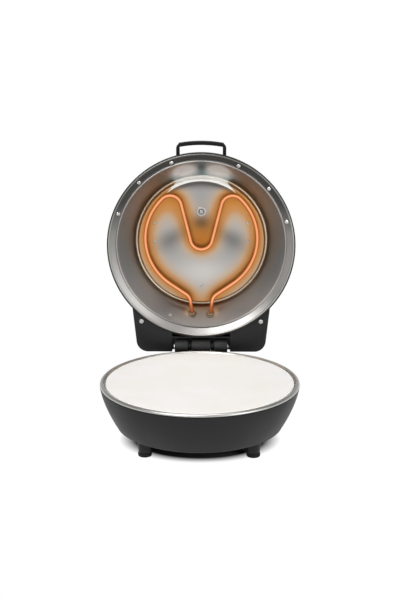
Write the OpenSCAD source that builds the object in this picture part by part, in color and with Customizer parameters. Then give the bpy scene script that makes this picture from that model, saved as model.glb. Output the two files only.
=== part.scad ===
// Electric pizza maker: a round base with a baking stone, and a hinged lid with a heating element.
// Lengths are millimetres. The origin is the middle of the four feet, on the worktop.
// +X is to the right, +Y is to the hinge at the back, +Z is up. The lid is drawn open.

/* [Base] */
// Outer radius of the base at its lip
base_r = 169.3; // [160:0.1:185]
// Height of the base's lip above the worktop
lip_z = 101; // [98:1:115]
// Height of the flat underside above the worktop
underside_z = 28; // [24:1:34]
// Drop over which the base's side would curve in to nothing
bowl_drop = 165; // [150:1:185]
// Exponent of the side's curve: a larger value keeps the side upright for longer
bowl_bulge = 1.4; // [1.3:0.05:1.6]
// Wall of the moulded base
bowl_wall = 2.5; // [2:0.25:3.5]
// Overlap of the bottom plate round the service opening
plate_lap = 12; // [9:1:15]

/* [Rim, pan and stone] */
// Width of the rolled steel rim
rim_w = 8; // [6:0.5:9]
// Height of the rolled rim above the lip
rim_h = 4; // [3:0.25:5]
// Sheet of the spun steel pan
pan_sheet = 0.8; // [0.6:0.1:1.2]
// Gap between the edge of the stone and the steel rim
stone_rim_gap = 1.3; // [1:0.1:4]
// Thickness of the baking stone
stone_t = 12; // [9:1:15]
// Rounding of the stone's top edge
stone_edge = 2.5; // [1:0.25:4]
// Depth of the stone's top face below the top of the rim
stone_sunk = 1; // [0.5:0.25:3]
// Gap round the stone
stone_gap = 0.8; // [0.5:0.1:1.5]
// Width of the ledge that carries the stone
ledge_w = 11; // [8:1:16]
// Height of the pan's floor above the worktop
pan_floor_z = 60; // [54:1:64]

/* [Feet] */
// Distance from the base's lip in to the middle of each foot
foot_inset = 50.3; // [46:0.1:56]
// Angle of the front feet from the X axis
front_foot_angle = 41; // [36:1:46]
// Angle of the back feet from the X axis
back_foot_angle = 50; // [44:1:54]
// Radius of a foot at its top
foot_top_r = 13; // [11:0.5:14]
// Radius of a foot above its pad
foot_low_r = 10.5; // [9:0.5:11]
// Radius of a rubber pad
pad_r = 11.5; // [10:0.5:13]
// Height of a rubber pad
pad_h = 6; // [4:0.5:8]

/* [Lid] */
// How far the lid's edge stands out past the lip of the base
lid_overhang = 0.5; // [0:0.1:3]
// Height of the lid's dome above its edge
dome_h = 76; // [70:1:84]
// Exponent of the dome's curve: a larger value makes a squarer shoulder
dome_square = 2.4; // [2.2:0.1:2.8]
// Sheet of the lid's shell
shell_sheet = 1; // [0.8:0.1:1.5]
// Gap between the rim of the base and the edge of the closed lid
lid_gap = 1; // [0.6:0.1:2]
// Angle of the open lid from closed
lid_open = 90.8; // [85:0.1:95]

/* [Lid ring] */
// Gap between the shell's edge and the ring
ring_gap = 0.4; // [0.3:0.1:0.8]
// Radius of the ring's rolled edge
ring_roll = 1.9; // [1.5:0.1:2.4]
// Width of the sloping flange, seen square on
flange_w = 10; // [8.4:0.2:11]
// Slope of the flange from the lid's edge plane
flange_slope = 36; // [30:1:42]
// Sheet of the ring
ring_sheet = 0.8; // [0.6:0.1:1]
// Number of ring screws on each side of the handle
ring_screws_n = 3; // [2:1:4]
// Angle between neighbouring ring screws
ring_screw_step = 24.6; // [20:0.1:28]
// Angle left open between the two rows of ring screws, at the handle
ring_screw_gap = 44; // [40:0.5:60]
// Turn of both rows of ring screws from the front
ring_screw_turn = -2.6; // [-6:0.1:6]
// Radius of a ring screw's head
ring_screw_head = 3.9; // [3:0.1:4.2]

/* [Reflector] */
// Gap between the flange and the reflector's bead
bead_gap = 1; // [0.5:0.1:1.5]
// Radius of the bead round the reflector's mouth
bead_r = 1.5; // [1.2:0.1:2]
// Distance from the lid's edge in to the circle where the side wall ends
wall_inset = 50.3; // [46:0.1:56]
// Depth of that circle from the lid's edge plane
trough_depth = 56; // [48:1:57]
// Width of the trough round the raised disc
trough_w = 2.6; // [2:0.2:4]
// Height of the raised disc above the trough
disc_rise = 9; // [6:0.5:10]
// Sheet of the reflector
reflector_sheet = 0.7; // [0.6:0.1:1]

/* [Upper element] */
// Radius of the heating tube
tube_r = 3.25; // [2.75:0.25:3.5]
// Gap between the tube and the raised disc
tube_gap = 9.75; // [6:0.25:12]
// Gap between the side wall's foot and the middle of the tube's large outer arc
outer_arc_gap = 17.5; // [16.5:0.5:22]
// Offset of the outer arc's centre towards the handle
outer_arc_up = 7; // [3:0.5:9]
// Radius of the two lobes next to the handle
lobe_r = 20.4; // [18:0.2:23]
// Distance of each lobe's centre from the middle line
lobe_x = 56.5; // [53:0.1:58]
// Radius of the dip between the lobes
dip_r = 20; // [17:0.5:22]
// Direction of the straight run below the outer arc
shoulder_angle = 214.3; // [212:0.1:216]
// Length of that straight run
shoulder_run = 36; // [32:1:40]
// Radius of the last bend
exit_r = 18; // [14:1:20]
// Direction of the tube's ends
exit_angle = 262; // [258:1:266]
// How far the upper tube's ends stand out behind the side wall
end_past_wall = 11; // [10:0.5:12]

/* [Lower element] */
// Distance from the ledge in to the middle of the lower element's ring
low_ring_inset = 45; // [38:1:56]
// Height of the lower element's centreline above the pan's floor
low_ring_up = 16; // [13:1:19]
// Angle left open between the lower element's ends
low_gap_angle = 26; // [20:1:36]
// Radius of the bends at the lower element's ends
low_bend_r = 11; // [9:1:12]

/* [Hinge] */
// Distance from the edge of the wider half to the hinge pin
hinge_out = 18.2; // [17:0.1:24]
// Radius of the hinge pin
pin_r = 4; // [3:0.25:5]
// Running clearance between the pin and the lid's knuckle
pin_clear = 0.05; // [0.02:0.01:0.1]
// Outer radius of the knuckles
knuckle_r = 12; // [10:0.5:12.5]
// Width of the lid's middle knuckle
knuckle_w = 34; // [28:1:38]
// Width of each ear on the base
ear_w = 24; // [18:1:26]
// Distance between the outer faces of the two ears
ears_span = 96; // [90:1:100]
// Side play of the lid's knuckle between the spacers
side_play = 0.3; // [0.3:0.05:0.6]
// Width of the notch for the hinge
notch_w = 106; // [104:1:112]
// Depth of the pocket for the hinge
pocket_depth = 16; // [15:0.5:18]

/* [Hinge housing] */
// Length of the housing, from its end in to the dome
housing_l = 98; // [90:1:104]
// Half width of the housing where it leaves the dome
housing_half = 127; // [120:0.5:132]
// Half width of the housing at its corners
housing_end_half = 118.6; // [112:0.2:122]
// Radius of the housing's corners
housing_corner = 21; // [14:1:26]
// Distance from the hinge pin to the housing's end
housing_out = 10.5; // [8:0.5:14]
// Height of the housing above the cover plate
housing_h = 30; // [26:1:34]
// Setback of the cover plate from the lid's edge plane
cover_setback = 4; // [3:0.5:6]
// Sheet of the cover plate
cover_sheet = 1.2; // [0.8:0.1:1.6]

/* [Handle] */
// Outer width of the handle
handle_w = 89; // [80:1:100]
// Height of the top of the handle's bow over the edge of the lid
handle_out = 18.2; // [16:0.1:26]
// Thickness of the handle's bar, seen square on
handle_bar = 6.2; // [5.6:0.2:8]
// Depth of the handle's bar
handle_depth = 13; // [10:0.5:15]
// Distance of the handle from the lid's edge plane
handle_up = 8; // [7:0.5:12]
// Bow of the handle
handle_bow = 4.5; // [2:0.25:7]
// Radius of the handle's outer corners
handle_corner = 8; // [5:0.5:8.5]

/* [Dial and lamps] */
// Distance from the edge of the lid in to the middle of the dial
dial_inset = 65.8; // [63:0.2:74]
// Tilt of the dial's face towards the handle
dial_tilt = 15.6; // [13:0.2:19]
// Radius of the dial's skirt
dial_r = 24; // [20:0.5:27]
// Radius of the dial's grip
grip_r = 18.5; // [15:0.5:19]
// Height of the dial
dial_h = 19; // [14:0.5:22]
// Number of flutes round the grip
flutes_n = 24; // [16:1:30]
// Radius of the dial's spindle
spindle_r = 3; // [2.5:0.25:3.5]
// Distance of each pilot lamp from the middle line
lamp_x = 48; // [44:1:54]
// Radius of a pilot lamp's bezel
bezel_r = 7; // [6:0.25:8]
// Radius of a pilot lamp's lens
lens_r = 4.8; // [4:0.1:5.2]

/* [Cord inlet] */
// Angle of the cord inlet from the X axis, at the back on the right
inlet_angle = 56; // [50:1:60]
// Height of the cord inlet above the worktop
inlet_z = 58; // [54:1:62]
// Radius of the cord's hole
inlet_bore = 3.6; // [3.2:0.1:4.2]

/* [Hidden] */

// Facets of large and of small round forms
fine = 128;
small = 48;
// A hair of overlap, so that solids that are one piece join
join = 0.01;
steel = "silver";
black = [0.17, 0.17, 0.17];
black_soft = [0.1, 0.1, 0.1];
bright = [0.88, 0.88, 0.86];

lid_r = base_r + lid_overhang;
rim_top_z = lip_z + rim_h;
stone_r = base_r - rim_w - stone_rim_gap;
foot_reach = base_r - foot_inset;
// Room between the bottom plate and the feet
plate_foot_gap = 4;
service_r = foot_reach - foot_top_r - plate_foot_gap - plate_lap;
hinge_back = max(base_r, lid_r) + hinge_out;
housing_back = hinge_back + housing_out;
housing_front_y = housing_back - housing_l;
wall_foot_r = lid_r - wall_inset;
outer_arc_r = wall_foot_r - outer_arc_gap;
handle_reach = lid_r + handle_out;
dial_out = lid_r - dial_inset;
lid_plane_z = rim_top_z + lid_gap;
stone_top_z = rim_top_z - stone_sunk;
stone_low_z = stone_top_z - stone_t;
pan_wall_r = stone_r + stone_gap;
ledge_r = stone_r - ledge_w;
low_ring_r = ledge_r - low_ring_inset;

// Radius of the base's side at height z
function bowl_r(z) = base_r * sqrt(1 - pow((lip_z - z) / bowl_drop, bowl_bulge));
// Radius of the dome at height z above the lid's edge plane
function dome_r(z) = lid_r * pow(1 - pow(z / dome_h, dome_square), 1 / dome_square);
// Height of the dome at radius r
function dome_z(r) = dome_h * pow(1 - pow(r / lid_r, dome_square), 1 / dome_square);
// Points of an arc round the point c
function arc(c, r, from, to, steps) =
    [for (i = [0:steps]) c + r * [cos(from + (to - from) * i / steps), sin(from + (to - from) * i / steps)]];
// Unit vector in the direction a
function heading(a) = [cos(a), sin(a)];
// Unit vector to the left of the direction a
function left_of(a) = [-sin(a), cos(a)];

// A solid of revolution about Z from points [radius, height]
module spun(points) {
    rotate_extrude($fn = fine) polygon(points);
}

// The same shape on each side of the middle plane
module both_sides() {
    children();
    mirror([1, 0, 0]) children();
}

// A disc-headed screw along -Z, with the underside of its head at the origin
module screw(shank_r, length, head_r, head_h, slot) {
    difference() {
        union() {
            cylinder(h = head_h * 0.5, r = head_r, $fn = small);
            translate([0, 0, head_h * 0.5]) cylinder(h = head_h * 0.5, r1 = head_r, r2 = head_r * 0.7, $fn = small);
            translate([0, 0, -length]) cylinder(h = length + join, r = shank_r, $fn = small);
        }
        for (a = [0, 90]) rotate(a)
            translate([-head_r * 0.55, -slot / 2, head_h * 0.5]) cube([head_r * 1.1, slot, head_h]);
    }
}

// A tube swept along stations, each [point, first cross direction, second cross direction]
module swept_tube(stations, r, sides) {
    last = len(stations) - 1;
    points = [for (s = stations, k = [0:sides - 1])
        s[0] + r * (cos(360 * k / sides) * s[1] + sin(360 * k / sides) * s[2])];
    walls = [for (i = [0:last - 1], k = [0:sides - 1]) let (a = i * sides + k, b = i * sides + (k + 1) % sides)
        each [[a, b, a + sides], [b, b + sides, a + sides]]];
    start = [for (k = [sides - 1:-1:0]) k];
    end = [for (k = [0:sides - 1]) last * sides + k];
    polyhedron(points = points, faces = concat(walls, [start, end]));
}

// Stations along a flat arc round c; a negative turn runs clockwise
function arc_stations(c, r, from, turn, steps) = [for (i = [0:steps]) let (a = from + turn * i / steps)
    [[c[0] + r * cos(a), c[1] + r * sin(a), 0], sign(turn) * [-cos(a), -sin(a), 0], [0, 0, 1]]];
// The same stations seen from the far end, on the other side of the middle plane
function mirrored(stations) = [for (i = [len(stations) - 1:-1:0]) [for (v = stations[i]) [-v[0], v[1], v[2]]]];

// ---------------------------------------------------------------- base

bowl_under_r = bowl_r(underside_z + 5) - 3;
boss_back_y = hinge_back - 18;
boss_half = ears_span / 2 + 10;
boss_top_z = lip_z - 5;
boss_low_z = underside_z + 22;

// Half section of the base, drawn in by an inset. With an inset it also runs out of the open top.
module bowl_outline(inset) {
    steps = 14;
    top_z = inset > 0 ? lip_z + 1 : lip_z;
    floor_z = underside_z + inset;
    turn_z = underside_z + 5;
    side = [for (i = [0:steps]) let (z = lip_z + (turn_z - lip_z) * i / steps) [bowl_r(z) - inset, z]];
    polygon(concat([[0, top_z], [base_r - inset, top_z]], side,
        [[bowl_under_r + 1.6 - inset, underside_z + 2.2 + inset * 0.6],
        [bowl_under_r - 6 - inset, floor_z], [0, floor_z]]));
}

inlet_boss_r = inlet_bore + 9.4;
inlet_neck_r = inlet_bore + 2.4;
inlet_face_r = bowl_r(inlet_z + inlet_boss_r) + 1;

// The cord inlet's place, with +Z straight out of the base
module inlet_place() {
    rotate(inlet_angle) translate([inlet_face_r, 0, inlet_z]) rotate([0, 90, 0]) children();
}

module base_bowl() color(black) {
    shoulder_z = lip_z - pan_sheet;
    difference() {
        union() {
            difference() {
                union() {
                    rotate_extrude($fn = fine) bowl_outline(0);
                    // Boss that carries the hinge bracket
                    rotate([90, 0, 90]) translate([0, 0, -boss_half]) linear_extrude(2 * boss_half)
                        polygon([[base_r - 50, boss_top_z], [boss_back_y, boss_top_z], [boss_back_y, boss_low_z],
                            [bowl_r(boss_low_z - 8) - 3, boss_low_z - 8], [base_r - 50, boss_low_z - 8]]);
                    // Boss round the cord inlet
                    inlet_place() translate([0, 0, -30]) cylinder(h = 30, r = inlet_boss_r, $fn = small);
                }
                rotate_extrude($fn = fine) bowl_outline(bowl_wall);
            }
            // Shoulder that carries the pan's flange
            spun([[pan_wall_r + 1.4, shoulder_z], [bowl_r(lip_z) - 1, shoulder_z],
                [bowl_r(lip_z - 8) - 1, lip_z - 8], [pan_wall_r + 1.4, lip_z - 3.5]]);
            // Pillars over the feet
            foot_places() translate([0, 0, underside_z]) cylinder(h = 10, r = 8, $fn = small);
        }
        translate([0, 0, underside_z - 1]) cylinder(h = bowl_wall + 2, r = service_r, $fn = fine);
        foot_places() translate([0, 0, underside_z - 1]) cylinder(h = 9, r = foot_screw_r, $fn = small);
        bracket_screw_places() translate([0, 0, -bracket_screw_l]) cylinder(h = 20, r = bracket_screw_r, $fn = small);
        plate_screw_places() translate([0, 0, underside_z - 1]) cylinder(h = bowl_wall + 2, r = plate_screw_r, $fn = small);
        inlet_place() translate([0, 0, -60]) cylinder(h = 80, r = inlet_neck_r, $fn = small);
    }
}

module rim_ring() color(steel) {
    mid_r = base_r - rim_w / 2;
    skin = 0.9;
    spun(concat(
        [for (p = arc([0, 0], 1, 0, 180, 16)) [mid_r + p[0] * rim_w / 2, lip_z + p[1] * rim_h]],
        [for (p = arc([0, 0], 1, 180, 0, 16)) [mid_r + p[0] * (rim_w / 2 - skin), lip_z + p[1] * (rim_h - skin)]]));
}

module base_pan() color([0.75, 0.75, 0.73]) {
    flange_r = base_r - rim_w / 2 - 0.5;
    floor_r = ledge_r - 6;
    t = pan_sheet;
    difference() {
        union() {
            spun([[0, pan_floor_z], [floor_r, pan_floor_z], [ledge_r, pan_floor_z + 10],
                [ledge_r, stone_low_z], [pan_wall_r, stone_low_z], [pan_wall_r, lip_z], [flange_r, lip_z],
                [flange_r, lip_z - t], [pan_wall_r + t, lip_z - t], [pan_wall_r + t, stone_low_z - t],
                [ledge_r + t, stone_low_z - t], [ledge_r + t, pan_floor_z + 10 - t / 2],
                [floor_r + t / 2, pan_floor_z - t], [0, pan_floor_z - t]]);
        }
        low_leg_places() translate([0, 0, -40]) cylinder(h = 60, r = tube_r + 1, $fn = small);
        post_places() translate([0, 0, pan_floor_z - 5]) cylinder(h = 10, r = post_tip_r, $fn = small);
    }
}

module baking_stone() color([0.95, 0.94, 0.92]) {
    low_edge = 1;
    spun(concat([[0, stone_low_z], [stone_r - low_edge, stone_low_z], [stone_r, stone_low_z + low_edge]],
        arc([stone_r - stone_edge, stone_top_z - stone_edge], stone_edge, 0, 90, 8), [[0, stone_top_z]]));
}

// ---------------------------------------------------------------- lower element

low_z = pan_floor_z + low_ring_up;
leg_low_z = pan_floor_z - 8;
low_end = 90 - low_gap_angle / 2;

// The two upright legs of the lower element, each at its own axis
module low_leg_places() {
    both_sides() rotate(low_end) translate([low_ring_r, 0, pan_floor_z]) translate([0, low_bend_r, 0]) children();
}

module lower_element() color([0.35, 0.3, 0.28]) {
    ring_steps = 20;
    bend_steps = 6;
    out = [cos(low_end), sin(low_end), 0];
    along = [-sin(low_end), cos(low_end), 0];
    up = [0, 0, 1];
    ring = [for (i = [0:ring_steps]) let (a = -90 + (low_end + 90) * i / ring_steps, n = [cos(a), sin(a), 0])
        [low_ring_r * n + low_z * up, -n, up]];
    leg = [for (i = [1:bend_steps]) let (a = 90 * i / bend_steps)
        [low_ring_r * out + low_bend_r * sin(a) * along + (low_z - low_bend_r + low_bend_r * cos(a)) * up,
        -out, sin(a) * along + cos(a) * up]];
    foot = [[low_ring_r * out + low_bend_r * along + leg_low_z * up, -out, along]];
    half = concat(ring, leg, foot);
    other = mirrored(half);
    swept_tube(concat([for (i = [0:len(other) - 2]) other[i]], half), tube_r, 12);
}

module low_post_places() {
    for (a = [-90, 18, 162]) rotate(a) translate([low_ring_r, 0, 0]) children();
}

module lower_element_posts() color(steel) {
    half = tube_r + 3;
    low_post_places() rotate([90, 0, 0]) translate([0, pan_floor_z, -0.75]) difference() {
        union() {
            translate([-half, 0, 0]) cube([2 * half, low_ring_up, 1.5]);
            translate([0, low_ring_up, 0]) cylinder(h = 1.5, r = half, $fn = small);
            translate([-half - 4, 0, -4]) cube([2 * half + 8, 1, 9.5]);
        }
        translate([0, low_ring_up, -5]) cylinder(h = 10, r = tube_r, $fn = small);
    }
}

module lower_terminal_sleeves() color([0.9, 0.88, 0.82]) {
    low_leg_places() translate([0, 0, leg_low_z - pan_floor_z - 8]) difference() {
        cylinder(h = 8 + 6, r = tube_r + 2.4, $fn = small);
        translate([0, 0, 8]) cylinder(h = 10, r = tube_r, $fn = small);
        translate([0, 0, -1]) cylinder(h = 6, r = 1.2, $fn = small);
    }
}

// ---------------------------------------------------------------- inside the base

shield_z = underside_z + 16;
// Room between the ledge and the edge of the shield
shield_inset = 21;
shield_r = ledge_r - shield_inset;
post_r = 5;
post_tip_r = 2.5;
// Distance from the edge of the service opening in to each post
post_inset = 14;
// Hole in the shield for the wires
wire_hole_r = 12;
wire_hole_out = 70;

module post_places() {
    for (a = [0:3]) rotate(45 + 90 * a) translate([service_r - post_inset, 0, 0]) children();
}

module heat_shield() color([0.78, 0.78, 0.76]) {
    t = 0.8;
    difference() {
        spun([[0, shield_z], [shield_r - 12, shield_z], [shield_r, shield_z + 6], [shield_r + t, shield_z + 6],
            [shield_r - 12 + t, shield_z - t], [0, shield_z - t]]);
        post_places() translate([0, 0, shield_z - 5]) cylinder(h = 10, r = post_tip_r, $fn = small);
        rotate(180) translate([0, -wire_hole_out, shield_z - 5]) cylinder(h = 10, r = wire_hole_r, $fn = small);
        low_leg_places() translate([0, 0, shield_z - pan_floor_z - 5]) cylinder(h = 20, r = tube_r + 4, $fn = small);
    }
}

// Posts on the bottom plate that carry the shield and steady the pan
module shield_posts() color(steel) {
    post_places() {
        translate([0, 0, underside_z]) cylinder(h = shield_z - 0.8 - underside_z, r = post_r, $fn = small);
        translate([0, 0, shield_z - 0.8 - join]) cylinder(h = 0.8 + 2 * join, r = post_tip_r, $fn = small);
        translate([0, 0, shield_z]) cylinder(h = pan_floor_z - pan_sheet - shield_z, r = post_r, $fn = small);
        translate([0, 0, pan_floor_z - pan_sheet - join])
            cylinder(h = pan_sheet + join, r = post_tip_r, $fn = small);
    }
}

plate_t = 1.2;
plate_r = service_r + plate_lap;
plate_screw_r = 1.75;

module plate_screw_places() {
    for (a = [0:3]) rotate(90 * a) translate([service_r + plate_lap / 2, 0, 0]) children();
}

module bottom_plate() color([0.3, 0.3, 0.3]) {
    vent_w = 4;
    difference() {
        translate([0, 0, underside_z - plate_t]) cylinder(h = plate_t, r = plate_r, $fn = fine);
        plate_screw_places() translate([0, 0, underside_z - 3]) cylinder(h = 6, r = plate_screw_r, $fn = small);
        // Vent slots in four fans
        for (a = [0:3], i = [-3:3]) rotate(90 * a) translate([30, i * 9 - vent_w / 2, underside_z - 3])
            cube([30, vent_w, 6]);
    }
}

module bottom_plate_screws() color(steel) {
    plate_screw_places() translate([0, 0, underside_z - plate_t]) mirror([0, 0, 1])
        screw(plate_screw_r, bowl_wall + plate_t, 3.5, 2, 0.9);
}

foot_screw_r = 2;

module foot_places() {
    both_sides() rotate(-front_foot_angle) translate([foot_reach, 0, 0]) children();
    both_sides() rotate(back_foot_angle) translate([foot_reach, 0, 0]) children();
}

module feet() color(black) {
    foot_places() difference() {
        translate([0, 0, pad_h - 2]) union() {
            cylinder(h = underside_z - pad_h + 2, r1 = foot_low_r, r2 = foot_top_r, $fn = small);
        }
        translate([0, 0, pad_h - 3]) cylinder(h = 8, r = foot_low_r - 3, $fn = small);
        translate([0, 0, -1]) cylinder(h = underside_z + 4, r = foot_screw_r, $fn = small);
    }
}

module foot_pads() color(black_soft) {
    foot_places() difference() {
        union() {
            cylinder(h = 1, r1 = pad_r - 1, r2 = pad_r, $fn = small);
            translate([0, 0, 1]) cylinder(h = pad_h - 1, r = pad_r, $fn = small);
        }
        translate([0, 0, pad_h - 2]) cylinder(h = 3, r1 = foot_low_r, r2 = foot_low_r + 0.3, $fn = small);
        translate([0, 0, pad_h - 4]) cylinder(h = 6, r = foot_low_r - 3, $fn = small);
    }
}

module foot_screws() color(steel) {
    foot_places() translate([0, 0, pad_h + 5]) mirror([0, 0, 1])
        screw(foot_screw_r, underside_z + 8 - pad_h - 5, 4, 2.4, 1);
}

module cord_inlet() color(black_soft) {
    inlet_place() difference() {
        union() {
            cylinder(h = 3, r = inlet_neck_r + 4, $fn = small);
            translate([0, 0, -6]) cylinder(h = 6 + join, r = inlet_neck_r, $fn = small);
            translate([0, 0, 3]) cylinder(h = 9, r1 = inlet_neck_r + 1.5, r2 = inlet_neck_r, $fn = small);
        }
        translate([0, 0, -10]) cylinder(h = 30, r = inlet_bore, $fn = small);
    }
}

block_l = 42;
block_w = 14;
block_h = 10;
// Place of the block, next to the right foot at the back
block_x = foot_reach * cos(back_foot_angle) - 36.492;
block_y = service_r + 2;

module terminal_block() color([0.9, 0.88, 0.82]) {
    translate([block_x, block_y, underside_z + bowl_wall]) difference() {
        translate([-block_l / 2, -block_w / 2, 0]) cube([block_l, block_w, block_h]);
        for (i = [-1:1]) translate([i * 13, 0, 4]) cylinder(h = 10, r = 2.2, $fn = small);
    }
}

module terminal_screws() color(steel) {
    translate([block_x, block_y, underside_z + bowl_wall]) for (i = [-1:1])
        translate([i * 13, 0, block_h]) screw(2.2, 6, 3, 1.6, 0.8);
}

// ---------------------------------------------------------------- hinge

ear_x = ears_span / 2 - ear_w;
bracket_t = 3;
bracket_screw_r = 2.2;
bracket_screw_l = 14;
bracket_screw_head = 4;
// Distance of the bracket's screws from the boss's edges, and from the ears
bracket_screw_inset = 10;
bracket_screw_out = 4;
axis_z = lid_plane_z;

module hinge_axis() {
    translate([0, hinge_back, axis_z]) rotate([0, 90, 0]) children();
}

// Screw places on the bracket, with +Z of each pointing back out of the bracket's face
module bracket_screw_places() {
    both_sides() for (z = [boss_low_z + bracket_screw_inset, boss_top_z - bracket_screw_inset])
        translate([ears_span / 2 + bracket_screw_out, boss_back_y + bracket_t, z]) rotate([-90, 0, 0]) children();
}

module hinge_bracket() color(black) {
    face_y = boss_back_y + bracket_t;
    plate_half = boss_half - 1;
    difference() {
        union() {
            translate([-plate_half, boss_back_y, boss_low_z + 1])
                cube([2 * plate_half, bracket_t, boss_top_z - boss_low_z - 1]);
            both_sides() translate([ear_x, 0, 0]) rotate([90, 0, 90]) linear_extrude(ear_w) {
                translate([hinge_back, axis_z]) circle(r = knuckle_r, $fn = fine);
                polygon([[face_y - join, boss_low_z + 12], [hinge_back + knuckle_r * 0.94, axis_z - knuckle_r * 0.34],
                    [hinge_back - knuckle_r * 0.71, axis_z + knuckle_r * 0.1 - 6], [face_y - join, boss_top_z]]);
            }
        }
        hinge_axis() translate([0, 0, -ears_span]) cylinder(h = 2 * ears_span, r = pin_r, $fn = small);
        bracket_screw_places() translate([0, 0, -10]) cylinder(h = 20, r = bracket_screw_r, $fn = small);
    }
}

module hinge_bracket_screws() color(steel) {
    bracket_screw_places() screw(bracket_screw_r, bracket_screw_l, bracket_screw_head, 2.4, 1);
}

module hinge_pin() color(steel) {
    head_h = 1.6;
    hinge_axis() {
        translate([0, 0, -ears_span / 2]) cylinder(h = ears_span, r = pin_r, $fn = small);
        for (s = [-1, 1]) translate([0, 0, s * (ears_span / 2 + head_h / 2) - head_h / 2])
            cylinder(h = head_h, r = pin_r + 1.6, $fn = small);
    }
}

module hinge_spacers() color(black_soft) {
    from_x = knuckle_w / 2 + side_play;
    both_sides() hinge_axis() translate([0, 0, from_x]) difference() {
        cylinder(h = ear_x - from_x, r = pin_r + 4, $fn = small);
        translate([0, 0, -1]) cylinder(h = ear_x, r = pin_r, $fn = small);
    }
}

// ---------------------------------------------------------------- lid
// Lid parts are drawn closed, from the middle of the lid's edge plane: +Z into the dome, +Y to the
// hinge. The module in_lid turns them open.

module in_lid() {
    translate([0, hinge_back, axis_z]) rotate([-lid_open, 0, 0]) translate([0, -hinge_back, 0]) children();
}

// The same place seen from inside the lid, with +Y to the handle
module in_dish(depth) {
    in_lid() translate([0, 0, depth]) mirror([0, 1, 0]) children();
}

ring_out_r = lid_r - shell_sheet - ring_gap;
roll_mid_r = ring_out_r - ring_roll;
flange_in_r = roll_mid_r - flange_w - 1;
// Height of the flange's inner face at radius r
function flange_z(r) = ring_roll + (roll_mid_r - r) * tan(flange_slope);
flange_t = ring_sheet / cos(flange_slope);
reflector_t = reflector_sheet / cos(flange_slope);

// Outline of the housing, drawn in by an inset
module housing_outline(inset) {
    corner = housing_corner - inset * 0.4;
    cx = housing_end_half - inset - corner;
    cy = housing_back - inset - corner;
    right = arc([cx, cy], corner, 6, 90, 8);
    left = [for (i = [8:-1:0]) [-right[i][0], right[i][1]]];
    polygon(concat([[housing_half - inset, housing_front_y]], right, left, [[-housing_half + inset, housing_front_y]]));
}

// Half width of the housing at the place y, up to its corners
function housing_side_x(y) = housing_half + (housing_end_half - housing_half)
    * (y - housing_front_y) / (housing_l - housing_corner);
// Height of the rivets' ribs, and how far each stops short of the housing's outer face
rib_h = 12;
rib_inset = 1.09;

// The housing as a solid, with its upper edge rounded
module housing_form(inset, low, high) {
    hull() {
        translate([0, 0, low]) linear_extrude(1) housing_outline(inset);
        translate([0, 0, high - 9]) linear_extrude(1) housing_outline(inset + 1.5);
        translate([0, 0, high - 4]) linear_extrude(1) housing_outline(inset + 4);
        translate([0, 0, high - 1]) linear_extrude(1) housing_outline(inset + 9);
    }
}

// The dome as a solid, drawn in by an inset. With an inset it also runs out of the open side.
module dome_form(inset) {
    steps = 22;
    top = dome_h - inset;
    low = inset > 0 ? -1 : 0;
    // Heights are packed towards the top, where the dome turns over
    heights = [for (i = [0:steps]) top * sin(90 * i / steps)];
    points = [for (z = heights) [max(0, lid_r * pow(max(0, 1 - pow(z / top, dome_square)), 1 / dome_square) - inset), z]];
    rotate_extrude($fn = fine) polygon(concat([[0, low], [lid_r - inset, low]], points));
}

cover_top_z = cover_setback + cover_sheet;
// Lift of the lid's lowest edge from its edge plane
edge_lift = 0.2;
pocket_front_y = lid_r + 0.8;
pocket_wall = 1.5;
dial_seat_h = 3;

// The dial's place on the dome, with +Z square out of its face
module dial_place() {
    translate([0, -dial_out, dome_z(dial_out)]) rotate([dial_tilt, 0, 0]) children();
}

module lamp_places() {
    lamp_out = sqrt(pow(dial_out, 2) + pow(lamp_x, 2));
    both_sides() translate([lamp_x, -dial_out, dome_z(lamp_out)]) rotate([dial_tilt, 0, 0]) rotate([0, 8, 0])
        children();
}

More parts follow.
